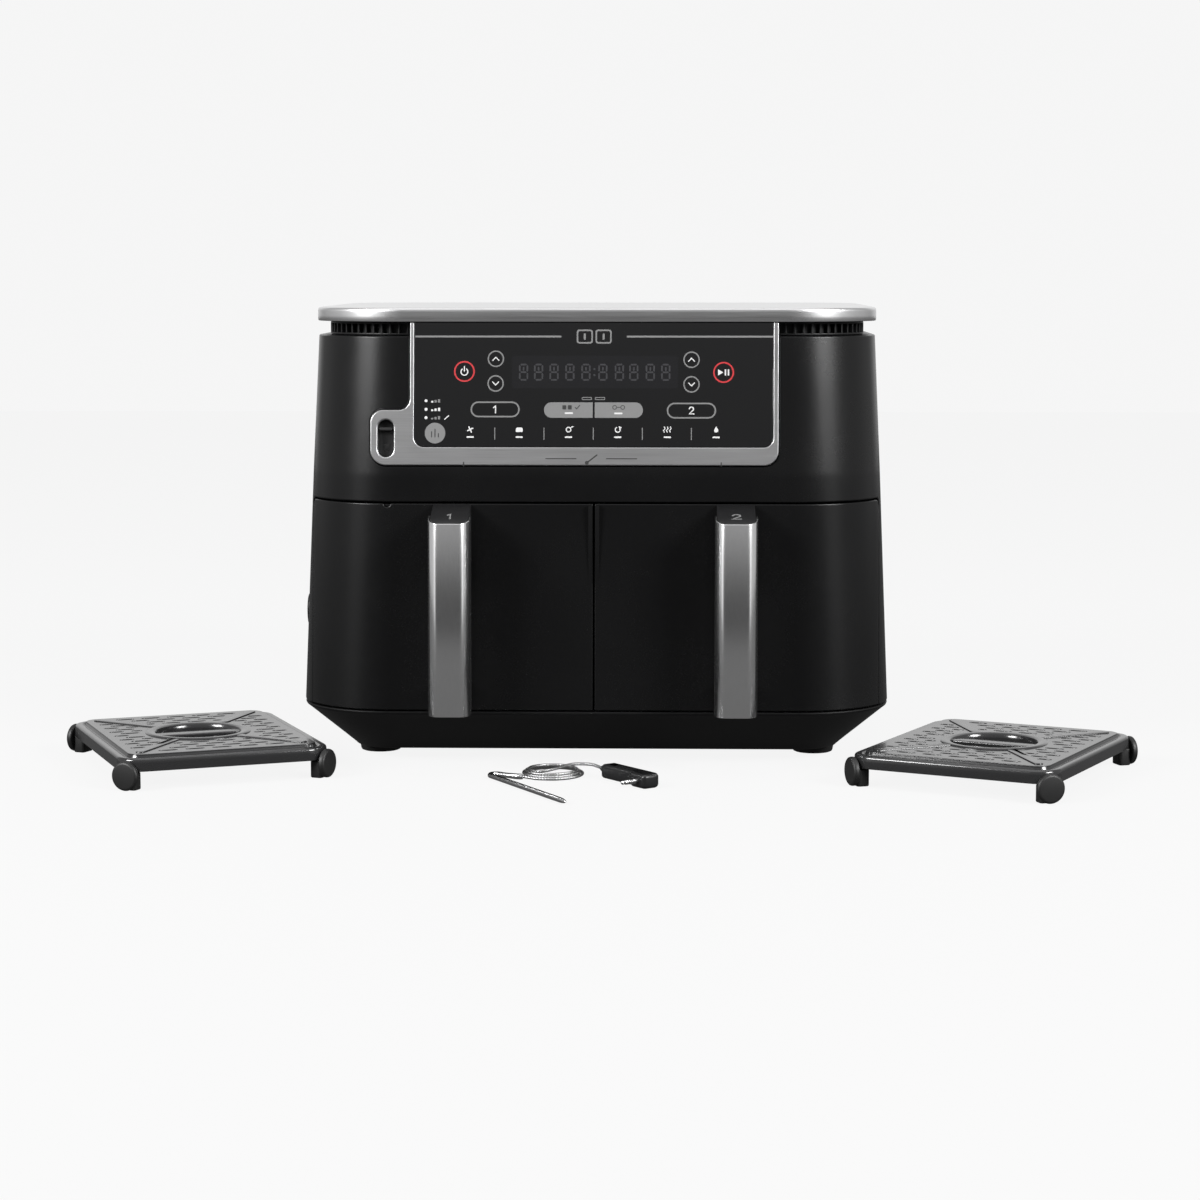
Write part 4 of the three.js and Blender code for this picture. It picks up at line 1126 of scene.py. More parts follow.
# display window and its unlit digits
window.append([box2(514, 356, 678.6, 388, 3.0)])
for cx in (525.7, 540.6, 555.9, 571.6, 587.5, 604.3, 620.6, 634.9, 651.2, 666.5):
    x0, x1, y0, ym, y1 = cx - 4.6, cx + 4.6, 363.8, 372.15, 380.5
    t, e = 1.7, 0.5
    seg = lambda a, b: [stroke([a, b], t, 2)]
    for y in (y0 + t / 2, ym, y1 - t / 2):
        ghost.append(seg((x0 + t + e, y), (x1 - t - e, y)))
    for x in (x0 + t / 2, x1 - t / 2):
        ghost.append(seg((x, y0 + t + e), (x, ym - t / 2 - e)))
        ghost.append(seg((x, ym + t / 2 + e), (x, y1 - t - e)))
    ghost.append(seg((cx, ym - 4.6), (cx, ym - 2.0)))
for x in (595.9,):
    ghost.append([disc(x, 369, 1.1, 12)])
    ghost.append([disc(x, 375, 1.1, 12)])
for nm, lst, mat, w in (("print_grey", grey, INK_GREY, 1.05), ("print_white", white, INK_WHITE, 1.07), ("print_red", red, INK_RED, 1.05), ("print_silver", silver, INK_PALE, 1.05), ("print_dark", dark, INK_DARK, 1.09), ("display_window", window, GLASS_DARK, 1.03), ("ghost_digits", ghost, INK_GHOST, 1.05)):
    me = Mesh()
    shapes(me, lst, w)
    put(me, nm, mat, "appliance", [], "panel")
# thermometer mark and ticks on the bezel's lower band
me = Mesh()
band = [[stroke([(590, 460.2), (598.6, 453.6)], 1.3)], [disc(588.6, 461.2, 1.9, 18)], [stroke([(548, 457.2), (578, 457.2)], 0.9)], [stroke([(608, 457.2), (638, 457.2)], 0.9)],
        [box2(465.9, 460.6, 467.1, 464.6)], [box2(721.0, 460.6, 722.2, 464.6)]]
shapes(me, band, 1.65)
put(me, "bezel_print", INK_DARK, "appliance", [], "bezel")


# ------------------------------------------------------------------ handles
GRIP_W, GRIP_D, GRIP_T, H_LOW, H_TOP, H_TILT, H_OUT = 30.2, 17.0, 1.2, 43.3, 179.6, 0.27, 40.0


def grip_front(z):
    return -218.0 + (z - 41.5) * LEAN


def handle_figure(g, n=16):
    w = GRIP_W / 2 - g
    return np.concatenate([arc(-w + 8.1 - g, 12, 8.1 - g, 12 - g, 180, 270, n), arc(w - 8.1 + g, 12, 8.1 - g, 12 - g, 270, 360, n)])


def handle_map(cx, z0, z1, tilt):
    def f(p, z):
        d = p[:, 1]
        top = z1 + (H_TILT * d if tilt else 0)
        zz = np.broadcast_to(z0 + (z - z0) * (top - z0) / (z1 - z0), d.shape)
        return np.stack([cx + p[:, 0], grip_front(zz) + d, zz], 1)
    return f


for side, sn in ((-1, "left"), (1, "right")):
    cx = side * 101.5
    me = Mesh()
    w = GRIP_W / 2
    c_shape = np.concatenate([[(-w, GRIP_D)], handle_figure(0), [(w, GRIP_D), (w - GRIP_T, GRIP_D)], handle_figure(GRIP_T)[::-1], [(-w + GRIP_T, GRIP_D)]])
    prism(me, c_shape, H_LOW, H_TOP, 0.32, 3, handle_map(cx, H_LOW, H_TOP, True), ds=20)
    put(me, "handle_skin_" + sn, STEEL_GRIP, "drawer_" + sn, ["handle_grip_" + sn], "steel", 40)
    me = Mesh()
    w = GRIP_W / 2 - GRIP_T - 0.3
    fig = handle_figure(GRIP_T + 0.3)
    full = np.concatenate([fig, [(w, H_OUT - 0.4), (-w, H_OUT - 0.4)]])
    short = np.concatenate([fig, [(w, GRIP_D), (-w, GRIP_D)]])
    prism(me, full, 150, H_TOP, 0.5, 3, handle_map(cx, 150, H_TOP, True), ds=20)
    prism(me, short, 60, 152, 0.1, 1, handle_map(cx, 60, 152, False), ds=20)
    prism(me, full, H_LOW, 62, 0.5, 3, handle_map(cx, H_LOW, 62, False), ds=20)
    put(me, "handle_core_body_" + sn, GRIP_BLACK, "drawer_" + sn, ["handle_core_" + sn], "grip", 40)
    # raised numeral on the cap
    me = Mesh()
    def cap_pt(p, z):
        d = p[:, 1]
        zz = H_TOP + H_TILT * d
        nn = np.array([0, -H_TILT, 1.0]) / math.hypot(1, H_TILT)
        q = np.stack([cx + p[:, 0], grip_front(zz) + d, zz], 1)
        return q + np.multiply.outer(z, np.array([0, -0.26, 0.965]))
    if side < 0:
        num = [stroke([(-1.6, 17.5), (0.5, 20.0), (0.5, 10.5)], 1.3)]
    else:
        num = [stroke([*arc(0, 17.2, 2.7, 2.7, 170, -20, 9), (-2.9, 10.9), (3.1, 10.9)], 1.3)]
    for pl in num:
        prism(me, pl, -0.2, 0.14, 0.05, 1, cap_pt, ds=20)
    put(me, "handle_numeral_" + sn, INK_GREY, "drawer_" + sn, [], "grip", 40)

# ------------------------------------------------------------------ air intake under the lid
me = Mesh()


def ring_loop(mesh, zref, prof, nf=24, nr=18):
    rings = [ring_at(zref, i, z, nf, nr) for i, z in prof]
    rings.append(rings[0])
    loft(mesh, rings, False, False)


def outline_at(zref, inset, step):
    """Points and directions along the body outline, evenly spaced, starting at the front middle."""
    p = ring_at(zref, inset, 0, 40, 30)[:, :2]
    p = np.roll(p, -int(np.argmin(np.abs(p[:, 0]) + (p[:, 1] > 0) * 900)), 0)
    q = np.vstack([p, p[:1]])
    s = np.concatenate([[0], np.cumsum(np.linalg.norm(np.diff(q, axis=0), axis=1))])
    n = int(s[-1] / step)
    t = np.linspace(0, s[-1], n, endpoint=False)
    x, y = np.interp(t, s, q[:, 0]), np.interp(t, s, q[:, 1])
    e = 0.05
    dx = np.interp((t + e) % s[-1], s, q[:, 0]) - np.interp((t - e) % s[-1], s, q[:, 0])
    dy = np.interp((t + e) % s[-1], s, q[:, 1]) - np.interp((t - e) % s[-1], s, q[:, 1])
    l = np.hypot(dx, dy)
    return np.stack([x, y], 1), np.stack([dx / l, dy / l], 1)


ring_loop(me, SHOULDER, [(9.0, 310.4), (12.8, 310.4), (13.0, 310.6), (13.0, 311.6), (12.8, 311.8), (9.0, 311.8), (8.7, 311.65), (8.6, 311.4), (8.6, 310.8), (8.7, 310.55)])
ring_loop(me, SHOULDER, [(9.0, 318.2), (12.8, 318.2), (13.0, 318.4), (13.0, 319.5), (12.8, 319.7), (9.0, 319.7), (8.7, 319.55), (8.6, 319.3), (8.6, 318.6), (8.7, 318.35)])
ring_loop(me, SHOULDER, [(12.2, 311.0), (12.7, 311.0), (12.7, 319.0), (12.2, 319.0)])
pts, dirs = outline_at(SHOULDER, 10.7, 6.3)
for p, d in zip(pts, dirs):
    if p[1] > 122 or (p[1] < -100 and abs(p[0]) < 134):
        continue
    nrm = np.array([d[1], -d[0]])
    quad = np.array([p + nrm * a + d * b for a, b in ((2.25, -0.85), (2.25, 0.85), (-2.2, 0.85), (-2.2, -0.85))])
    prism(me, filleted([(quad[0][0], quad[0][1], 0.4), (quad[1][0], quad[1][1], 0.4), (quad[2][0], quad[2][1], 0), (quad[3][0], quad[3][1], 0)], 2), 311.4, 318.6, 0.05, 1, ds=20)
# the closed stretches: behind the panel and along the rear
for pred in ("front", "rear"):
    ins = ring_at(SHOULDER, 9.5, 0, 40, 30)[:, :2]
    o2 = ring_at(SHOULDER, 11.8, 0, 40, 30)[:, :2]
    if pred == "front":
        w = 133.0
        yf0, yf1 = float(yf_of(SHOULDER)) + 9.5, float(yf_of(SHOULDER)) + 11.8
        poly = rrect(-w, w, yf0, yf1, 0.6, 3)
        prism(me, poly, 311.2, 318.8, 0.1, 1)
    else:
        sel = [i for i in range(len(ins)) if ins[i][1] > 122]
        a = [ins[i] for i in sel]
        b = [o2[i] for i in sel]
        prism(me, np.array(a + b[::-1]), 311.2, 318.8, 0.1, 1, ds=30)
put(me, "intake_fins", BASE_MAT, "appliance", ["intake_grille"], "base")

# ------------------------------------------------------------------ rear cover, gland, feet, caddy
def back_map(w):
    def f(uv):
        p = np.array([0.0, 177.0, 41.5]) + np.multiply.outer(uv[:, 1], BACK_S) + w * BACK_N
        p[:, 0] -= uv[:, 0]
        return p
    return f


me = Mesh()
slots = []
for c in (-70, 70):
    for i in range(9):
        slots.append(rrect(c - 50, c + 50, 130 + 11 * i, 135 + 11 * i, 2.2, 5))
gl = arc(112, 44, 9, 9, 0, 360, 28)[:-1]
sheet(me, back_map(-0.2), rrect(-139.6, 139.6, 26.4, 244.6, 8, 8), slots + [gl], r=0.7, thick=2.8, ds=9.0, nf=3)
put(me, "rear_plate", BASE_MAT, "appliance", ["rear_cover"], "base")

for nm, x, y in (("front_left", -161.5, -97), ("front_right", 161.5, -97), ("rear_left", -161.5, 110), ("rear_right", 161.5, 110)):
    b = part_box("foot_" + nm)
    c = (b[0] + b[1]) * 500
    me = Mesh()
    lathe(me, [(0, 0.0), (11.5, 0.0), (13.4, 0.15), (14.4, 0.6), (14.9, 1.4), (15.3, 3.4), (15.8, 6.6), (15.9, 7.3), (15.6, 7.6), (15.0, 7.7), (0, 7.7)], (c.x, c.y - Y0, b[0].z * 1000), 44)
    put(me, "foot_pad_" + nm, RUBBER, "appliance", ["foot_" + nm], "rubber", 30)

me = Mesh()
side3 = lambda p, z: np.stack([-z, -p[:, 0], p[:, 1]], 1)
cap = rrect(-90, 60, 86.5, 112.5, 12.9, 10)
prism(me, cap, 214.5, 221.0, 2.2, 5, side3)
prism(me, rrect(-84, 54, 92.5, 106.5, 6.9, 8), 201.0, 215.0, 0.4, 2, side3)
prism(me, rrect(-89, 59, 87.5, 111.5, 11.9, 8), 200.8, 203.0, 0.5, 2, side3)
put(me, "caddy_spool", BASE_MAT, "probe_caddy", ["probe_caddy"], "base")


# ------------------------------------------------------------------ crisper plates
def turned(cx, cy, deg):
    a = math.radians(deg)
    c, s = math.cos(a), math.sin(a)
    R = np.array([[c, -s, 0], [s, c, 0], [0, 0, 1]])
    return lambda p: np.asarray(p, float) @ R.T + np.array([cx, cy, 0])


class Placed(Mesh):
    """A mesh whose points are given in a turned piece's own frame."""

    def __init__(self, cx, cy, deg):
        super().__init__()
        self.f0 = turned(cx, cy, deg)
        a = math.radians(deg)
        self.R = np.array([[math.cos(a), -math.sin(a), 0], [math.sin(a), math.cos(a), 0], [0, 0, 1]])

    def add(self, verts, faces, normals=None, slot=0):
        mm = np.asarray(verts, float) * 1000 - np.array([0, Y0, 0])
        if normals is not None:
            normals = [np.asarray(n, float) @ self.R.T for n in normals]
        return super().add(W(self.f0(mm)), faces, normals, slot)


CW, CL, CR = 151.0, 182.0, 18.0


def crisp_ring(inset, z, n=10):
    r = max(CR - min(inset, 12), 2.0)
    p = rrect(-CW / 2 + inset, CW / 2 - inset, -CL / 2 + inset, CL / 2 - inset, r, n)
    return np.column_stack([p, np.full(len(p), z)])


flat_map = lambda z: (lambda uv: np.column_stack([uv, np.full(len(uv), z)]))
for sn, cx, cy, turn in (("left", -288.0, -164.0, 22.8), ("right", 285.43, -194.0, -26.4)):
    me = Placed(cx, cy, turn)
    prof = [(0.4, 13.0), (0.05, 13.3), (0.05, 14.0), (0.25, 18), (0.45, 20.3), (0.8, 21.2), (1.5, 21.8), (2.4, 22.0), (5.2, 22.0), (5.9, 21.8), (6.4, 21.3), (6.9, 21.0), (7.5, 21.3), (8.1, 22.4), (8.6, 23.4), (9.4, 23.2), (9.4, 20.4), (6.8, 19.9), (2.6, 19.6), (2.2, 18.8), (1.7, 13.1), (1.3, 13.0)]
    rings = [crisp_ring(i, z) for i, z in prof]
    rings.append(rings[0])
    loft(me, rings, False, False)
    slots = []
    ax, ay = CW / 2 - 15, CL / 2 - 15
    dl = math.hypot(ax, ay)
    # edges of the fields: the diagonals, the rim and the ring round the dish
    for j in range(17):
        y = -72 + 9 * j
        for k in range(-5, 6):
            x = 19.2 * k + (9.6 if j % 2 else 0)
            x0, x1 = x - 6.6, x + 6.6
            # trim at the rim
            lim = CW / 2 - 14.5
            x0, x1 = max(x0, -lim), min(x1, lim)
            if x1 - x0 < 5 or abs(y) > CL / 2 - 15:
                continue
            # trim at the centre ring
            q = 41.5 ** 2 - y * y
            if q > 0:
                c = math.sqrt(q)
                if x0 < c and x1 > -c:
                    if x > 0:
                        x0 = max(x0, c)
                    else:
                        x1 = min(x1, -c)
                    if x1 - x0 < 5:
                        continue
            # trim at the diagonals
            bad = False
            for sgn in (-1, 1):
                xc = sgn * y * ax / ay
                half = 6.0 * dl / ay
                if x0 < xc + half and x1 > xc - half:
                    l, r_ = xc - half - x0, x1 - xc - half
                    if l >= r_ and l >= 5:
                        x1 = xc - half
                    elif r_ > l and r_ >= 5:
                        x0 = xc + half
                    else:
                        bad = True
                        break
            if bad or x1 - x0 < 5:
                continue
            slots.append(rrect(x0, x1, y - 1.75, y + 1.75, 1.7, 3))
    outer = crisp_ring(8.4, 0)[:, :2]
    ringhole = arc(0, 0, 37, 37, 0, 360, 56)[:-1]
    sheet(me, flat_map(23.9), outer, slots + [ringhole], r=0.55, thick=1.7, ds=8.0, nf=2)
    # raised ribs on the diagonals
    for sx in (-1, 1):
        for sy in (-1, 1):
            e = np.array([sx * ax, sy * ay]) / dl
            nn = np.array([-e[1], e[0]])
            a, b = e * 37.0, e * (dl - 1)
            poly = np.array([a - nn * 3.6, b - nn * 3.2, b + nn * 3.2, a + nn * 3.6])
            prism(me, filleted([(*poly[0], 0), (*poly[1], 2.4), (*poly[2], 2.4), (*poly[3], 0)], 5), 23.0, 24.6, 0.6, 3, ds=12)
    # ring and dish
    R = [(0, 12.4), (29.0, 12.4), (31.0, 12.8), (31.6, 13.6), (31.7, 20.4), (32.5, 21.4), (38.0, 21.8), (38.3, 22.6), (38.0, 24.2), (37.0, 24.8), (35.6, 25.0), (33.0, 24.9), (31.2, 24.3), (30.3, 23.0), (30.1, 21.0), (30.0, 15.2), (29.4, 14.2), (28.2, 13.95), (0, 13.9)]
    lathe(me, [(r, z) for r, z in R], (0, 0, 0), 72)
    prism(me, rrect(-30.6, 30.6, -6, 6, 1.5, 4), 20.6, 23.4, 0.9, 4, ds=8)
    put(me, "crisper_tray_" + sn, CERAMIC, "crisper_" + sn, ["crisper_plate_" + sn], "coating", 32)
    for where, sx, sy in (("front_left", -1, -1), ("front_right", 1, -1), ("rear_left", -1, 1), ("rear_right", 1, 1)):
        ang = math.degrees(math.atan2(sy, sx))
        bx, by = sx * (CW / 2 - CR + CR * math.sqrt(0.5)), sy * (CL / 2 - CR + CR * math.sqrt(0.5))
        inner = turned(bx, by, ang)
        me = Placed(cx, cy, turn)

        class Sub:
            def __init__(self, target, f):
                self.t, self.f = target, f

            def add(self, verts, faces, normals=None, slot=0):
                mm = np.asarray(verts, float) * 1000 - np.array([0, Y0, 0])
                return self.t.add(W(self.f(mm)), faces, None, slot)

        sub = Sub(me, inner)
        # round cheek, its axis along +x
        M = Matrix(((0, 0, 1), (1, 0, 0), (0, 1, 0))).to_4x4()
        lathe(sub, [(0, 0.4), (8.6, 0.4), (9.6, 0.7), (10.15, 1.4), (10.2, 2.4), (10.2, 3.3), (9.9, 4.2), (9.2, 4.8), (8.2, 5.0), (0, 5.0)], (0, 0, 10.2), 36, M=M)
        prism(sub, rrect(-8.1, 1.2, -6.5, 6.5, 2.4, 5), 0.0, 12.3, 1.0, 4, ds=8)
        put(me, "bumper_pad_" + sn + "_" + where, RUBBER, "crisper_" + sn, ["bumper_" + sn + "_" + where], "rubber", 35)

# ------------------------------------------------------------------ food probe
PZ = 2.2
bend = [(x, y, PZ) for x, y in arc(-68.0, -217.5, 4, 4, 210.1, 54.1, 14)]
tip = np.array([-14.7, -317.4, PZ])
d0 = np.array([-71.5 + 14.7, -219.5 + 317.4, 0])
d0 /= np.linalg.norm(d0)
L0 = np.linalg.norm(np.array([-71.5, -219.5]) - tip[:2])
shank = [tuple(tip + d0 * t) for t in (0, 0.4, 1.2, 2.6, 5, 8, 30, 60, 90, L0 - 3)]
tail = [(-61.5, -217.45, PZ), (-59, -218.9, PZ), (-56.5, -220.3, PZ)]
path = np.array(shank + bend + tail)
rad = np.full(len(path), 1.9)
rad[:6] = [0.12, 0.35, 0.8, 1.25, 1.65, 1.85]
me = Mesh()
sweep(me, path, rad, 24)
fer = np.array([(-57.6, -219.7, PZ), (-57.2, -219.95, PZ), (-54.6, -221.4, PZ), (-52.4, -222.4, PZ), (-50.2, -222.95, PZ), (-49.0, -223.15, PZ), (-48.65, -223.2, PZ)])
sweep(me, fer, [1.3, 1.98, 2.05, 2.05, 2.05, 1.95, 1.3], 24)
put(me, "probe_shank", PROBE_STEEL, "probe", ["probe_rod"], "steel", 40)


def braid():
    """Woven steel braid on the tube's own coordinates."""
    k = Look("steel_braid", (0.5, 0.5, 0.505), 0.36, 1.0)
    uvn = k.co.outputs["UV"]
    sep = k.node("ShaderNodeSeparateXYZ")
    k.link(uvn, sep.inputs[0])
    a = k.math("MULTIPLY", sep.outputs["X"], 2 * math.pi * 4)
    b = k.math("MULTIPLY", sep.outputs["Y"], 2 * math.pi / 2.1)
    s1 = k.math("SINE", k.math("ADD", a, b), 0)
    s2 = k.math("SINE", k.math("SUBTRACT", a, b), 0)
    h = k.math("MAXIMUM", s1, s2)
    # The base colour runs from bright steel on the strand crowns to near black in the troughs: painted shade between
    # the woven strands.
    c, r = k.color_mix(k.ramp(h, -0.4, 1.0, 0, 1), (0.10, 0.10, 0.10), (0.62, 0.62, 0.625))
    k.base(c)
    k.rough(k.ramp(k.noise(700, 2.0), 0.3, 0.7, 0.28, 0.42))
    k.bump(h, 0.09)
    return k.m


# the cable: from the ferrule round the coil, across it, over a low hump and into the plug
CX, CY, CRAD = -28.6, -207.0, 1.1


def catmull(pts, n):
    pts = np.array(pts, float)
    p = np.vstack([2 * pts[0] - pts[1], pts, 2 * pts[-1] - pts[-2]])
    out = []
    for i in range(1, len(p) - 2):
        for j in range(n):
            t = j / n
            out.append(0.5 * ((2 * p[i]) + (-p[i - 1] + p[i + 1]) * t + (2 * p[i - 1] - 5 * p[i] + 4 * p[i + 1] - p[i + 2]) * t * t + (-p[i - 1] + 3 * p[i] - 3 * p[i + 1] + p[i + 2]) * t ** 3))
    out.append(p[-2])
    return np.array(out)


way_end = [(-5.2, -197.2, 6.8), (-2.6, -198.3, 6.9), (-0.1, -199.9, 6.85), (2.3, -202.1, 6.55), (4.4, -204.5, 6.15), (6.3, -206.85, 5.8), (9.3, -210.65, 5.6)]
way = [(-48.65, -223.2, 2.2), (-46.2, -223.85, 2.05), (-42.2, -225.6, 1.75), (-38.2, -227.3, 1.55)]
for i in range(1, 61):
    a = -104 + i * 1049 / 60.0
    tn = (a + 104) / 360.0
    r = 22.15 - 2.05 * tn + 0.18 * math.sin(math.radians(a) * 1.63)
    way.append((CX + r * math.cos(math.radians(a)), CY + r * math.sin(math.radians(a)), 1.5 + 1.3 * tn))
way += [(-36.3, -221.0, 5.75), (-32.2, -220.9, 6.2), (-28.1, -217.7, 6.55), (-23.8, -212.3, 6.75), (-19.6, -206.4, 6.95), (-15.8, -201.4, 7.1), (-12.2, -198.2, 7.0), (-8.8, -197.0, 6.85)]
way += way_end
cable_path = catmull(way, 3)
me = Mesh()
uvs = sweep(me, cable_path, CRAD, 14)
cable = me.make("probe_lead", braid(), 60)
layer = cable.data.uv_layers.new(name="UVMap")
layer.data.foreach_set("uv", np.array(uvs, np.float32).ravel())
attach(cable, "probe")
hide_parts("probe_cable", "probe_cable_coil")

# plug and pin, in the plug's own directions
PD = np.array([0.605, -0.796, 0])
PD /= np.linalg.norm(PD)
PV = np.array([-PD[1], PD[0], 0])
PT = np.array([6.6, -207.0, 0])
PL = 62.0
plug3 = lambda p, z: PT + np.multiply.outer(p[:, 0], PD) + np.multiply.outer(p[:, 1], PV) + np.column_stack([np.zeros((len(p), 2)), z])
me = Mesh()
prism(me, filleted([(7, -6.4, 2.6), (PL - 18.5, -6.4, 5), (PL - 15.5, -9, 3.5), (PL, -9, 3.4), (PL, 6.4, 5.6), (7, 6.4, 2.6)], 7), 0.3, 10.4, 2.6, 6, plug3, ds=6)
rib = []
rr = []
for i in range(0, 15):
    u = 0.3 + i * 0.55
    rib.append(PT + PD * u + np.array([0, 0, 5.6]))
    rr.append(1.7 + 0.06 * i + (0.28 if i % 3 == 1 else 0.0))
rr[0] = 1.35
sweep(me, rib, rr, 22)
# thumb recess ridges on the top of the plug
for k in range(5):
    prism(me, rrect(20 + k * 4.2, 21.6 + k * 4.2, -3.6, 3.6, 0.7, 3), 10.2, 10.38, 0.05, 1, plug3, ds=6)
plug = put(me, "probe_plug_body", GRIP_BLACK, "probe", ["probe_plug"], "grip", 40)
me = Mesh()
base_pt = PT + PD * (PL - 7.5) + np.array([0, 0, 5.6])
prof = [(-8.6, 1.2), (-9.0, 1.7), (-9.4, 1.75), (-12.6, 1.75), (-12.7, 1.62), (-13.3, 1.62), (-13.4, 1.75), (-16.4, 1.75), (-16.5, 1.62), (-17.1, 1.62), (-17.2, 1.75), (-19.4, 1.72), (-20.2, 1.35), (-20.7, 1.2), (-21.2, 1.45), (-21.8, 1.5), (-22.4, 1.1), (-22.75, 0.4)]
sweep(me, [base_pt + PV * v for v, _ in prof], [r for _, r in prof], 26)
for v0, v1 in ((-12.75, -13.25), (-16.55, -17.05)):
    sweep(me, [base_pt + PV * v0, base_pt + PV * ((v0 + v1) / 2), base_pt + PV * v1], [1.66, 1.68, 1.66], 26, slot=1)
pin = put(me, "probe_jack_pin", [PROBE_STEEL, GRIP_BLACK], "probe", ["probe_pin"], "steel", 40)

# ------------------------------------------------------------------ baskets and what shows when the drawers are out
for side, sn in ((-1, "left"), (1, "right")):
    me = Mesh()
    def bring(x0, x1, y0, y1, r, z):
        p = rrect(x0, x1, y0, y1, r, 12)
        if side < 0:
            p = (p * np.array([-1, 1]))[::-1]
            p = np.roll(p, 7, 0)
        return np.column_stack([p, np.full(len(p), z)])
    prof = []
    # outside, from the floor up
    for t in np.linspace(0, 1, 7):
        a = math.pi / 2 * t
        g = 6.0
        prof.append((18 + g * (1 - math.sin(a)), 181 - g * (1 - math.sin(a)), -140 + g * (1 - math.sin(a)), 70 - g * (1 - math.sin(a)), 22 - g * (1 - math.sin(a)) * 0.6, 47 + g * (1 - math.cos(a))))
    prof += [(16, 183, -141.4, 72, 22, 118), (14, 185, -142.8, 74, 22, 182.6), (13.6, 185.4, -142.9, 74.4, 22.3, 183.1), (12.7, 186.3, -142.9, 75.3, 22.8, 183.4), (12.4, 186.6, -142.9, 75.6, 23, 184.2), (12.6, 186.4, -142.8, 75.4, 22.9, 185.4), (13.2, 185.8, -142.5, 74.8, 22.4, 186.0),
             (15.0, 184.0, -141.8, 73.0, 21.0, 186.0), (15.5, 183.5, -141.4, 72.5, 20.6, 185.5), (15.7, 183.3, -141.2, 72.3, 20.4, 184.5), (17.5, 181.5, -139.9, 70.4, 20.4, 118)]
    for t in np.linspace(1, 0, 9):
        a = math.pi / 2 * t
        g = 7.5
        prof.append((19.4 + g * (1 - math.sin(a)), 179.6 - g * (1 - math.sin(a)), -138.5 + g * (1 - math.sin(a)), 68.5 - g * (1 - math.sin(a)), 20.4 - g * (1 - math.sin(a)) * 0.6, 48.6 + g * (1 - math.cos(a))))
    loft(me, [bring(*p) for p in prof], True, True)
    put(me, "basket_bowl_" + sn, CERAMIC, "drawer_" + sn, ["basket_" + sn], "coating", 30)


def dress(node, mat, width):
    o = bpy.data.objects[node]
    o.data.materials.clear()
    o.data.materials.append(mat)
    wd = o.modifiers.new("weld", "WELD")
    wd.merge_threshold = 0.00001
    bv = o.modifiers.new("bevel", "BEVEL")
    bv.width = width / 1000
    bv.segments = 3
    bv.limit_method = "ANGLE"
    bv.angle_limit = math.radians(35)
    bv.use_clamp_overlap = True
    bv.harden_normals = True


for node, mat, width in (
    ("cord_gland", GRIP_BLACK, 0.8), ("display_module", BOARD_MAT, 0.4), ("control_board", BOARD_MAT, 0.3), ("probe_socket", GRIP_BLACK, 0.4),
    ("front_frame", BASE_MAT, 0.5), ("heat_deck", SHEET_STEEL, 0.3), ("power_board", BOARD_MAT, 0.4)):
    dress(node, mat, width)
for sn in ("left", "right"):
    for node, mat, width in (
        ("cavity_", SHEET_STEEL, 0.4), ("heater_", HEATER_MAT, 0.4), ("heater_guard_", SHEET_STEEL, 0.3), ("motor_", MOTOR_MAT, 0.8), ("drawer_panel_", BASE_MAT, 0.4),
        ("convection_fan_", SHEET_STEEL, 0.25), ("fan_shaft_", PROBE_STEEL, 0.4), ("cooling_fan_", GRIP_BLACK, 0.3)):
        dress(node + sn, mat, width)

# the web over the drawers, part of the housing moulding
me = Mesh()
wz = 193.0
out = ring_at(wz, 2.4, 0, 40, 30)[:, :2]
sel = out[out[:, 1] < -139.7]
right_ = sel[sel[:, 0] >= 0]
left_ = sel[sel[:, 0] < 0]
poly = np.concatenate([left_[np.argsort(left_[:, 0])], right_[np.argsort(right_[:, 0])]])
prism(me, poly, 191.9, 194.4, 0.4, 2, ds=30)
put(me, "housing_web", HOUSING, "appliance", [], "housing")



# ------------------------------------------------------------------ floor, light, camera
FLOOR_GLOW = 0.887


def emission_floor():
    me = bpy.data.meshes.new("studio_floor")
    me.from_pydata([(-4, -1.35, 0), (4, -1.35, 0), (4, 5, 0), (-4, 5, 0)], [], [(0, 1, 2, 3)])
    o = bpy.data.objects.new("studio_floor", me)
    bpy.context.scene.collection.objects.link(o)
    k = Look("studio_floor_paint", (0.035, 0.035, 0.035), 0.9)
    slow = k.noise(1.2, 3.0)
    c, r = k.color_mix(slow, (0.0345, 0.0345, 0.0345), (0.0355, 0.0355, 0.0355))
    k.base(c)
    k.b.inputs["Emission Color"].default_value = (1, 1, 1, 1)
    k.b.inputs["Specular IOR Level"].default_value = 0.0
    seen = k.node("ShaderNodeLightPath").outputs["Is Camera Ray"]
    k.link(k.ramp(seen, 0, 1, 0.08, FLOOR_GLOW), k.b.inputs["Emission Strength"])
    me.materials.append(k.m)
    return o


emission_floor()

world = bpy.data.worlds.new("studio")
bpy.context.scene.world = world
world.use_nodes = True
wt = world.node_tree
wb = wt.nodes["Background"]
lp = wt.nodes.new("ShaderNodeLightPath")
tc = wt.nodes.new("ShaderNodeTexCoord")
sep = wt.nodes.new("ShaderNodeSeparateXYZ")
wt.links.new(tc.outputs["Generated"], sep.inputs[0])


def world_range(out, lo, hi, a, b):
    n = wt.nodes.new("ShaderNodeMapRange")
    n.interpolation_type = "SMOOTHSTEP"
    for k, v in (("From Min", lo), ("From Max", hi), ("To Min", a), ("To Max", b)):
        n.inputs[k].default_value = v
    wt.links.new(out, n.inputs["Value"])
    return n.outputs["Result"]


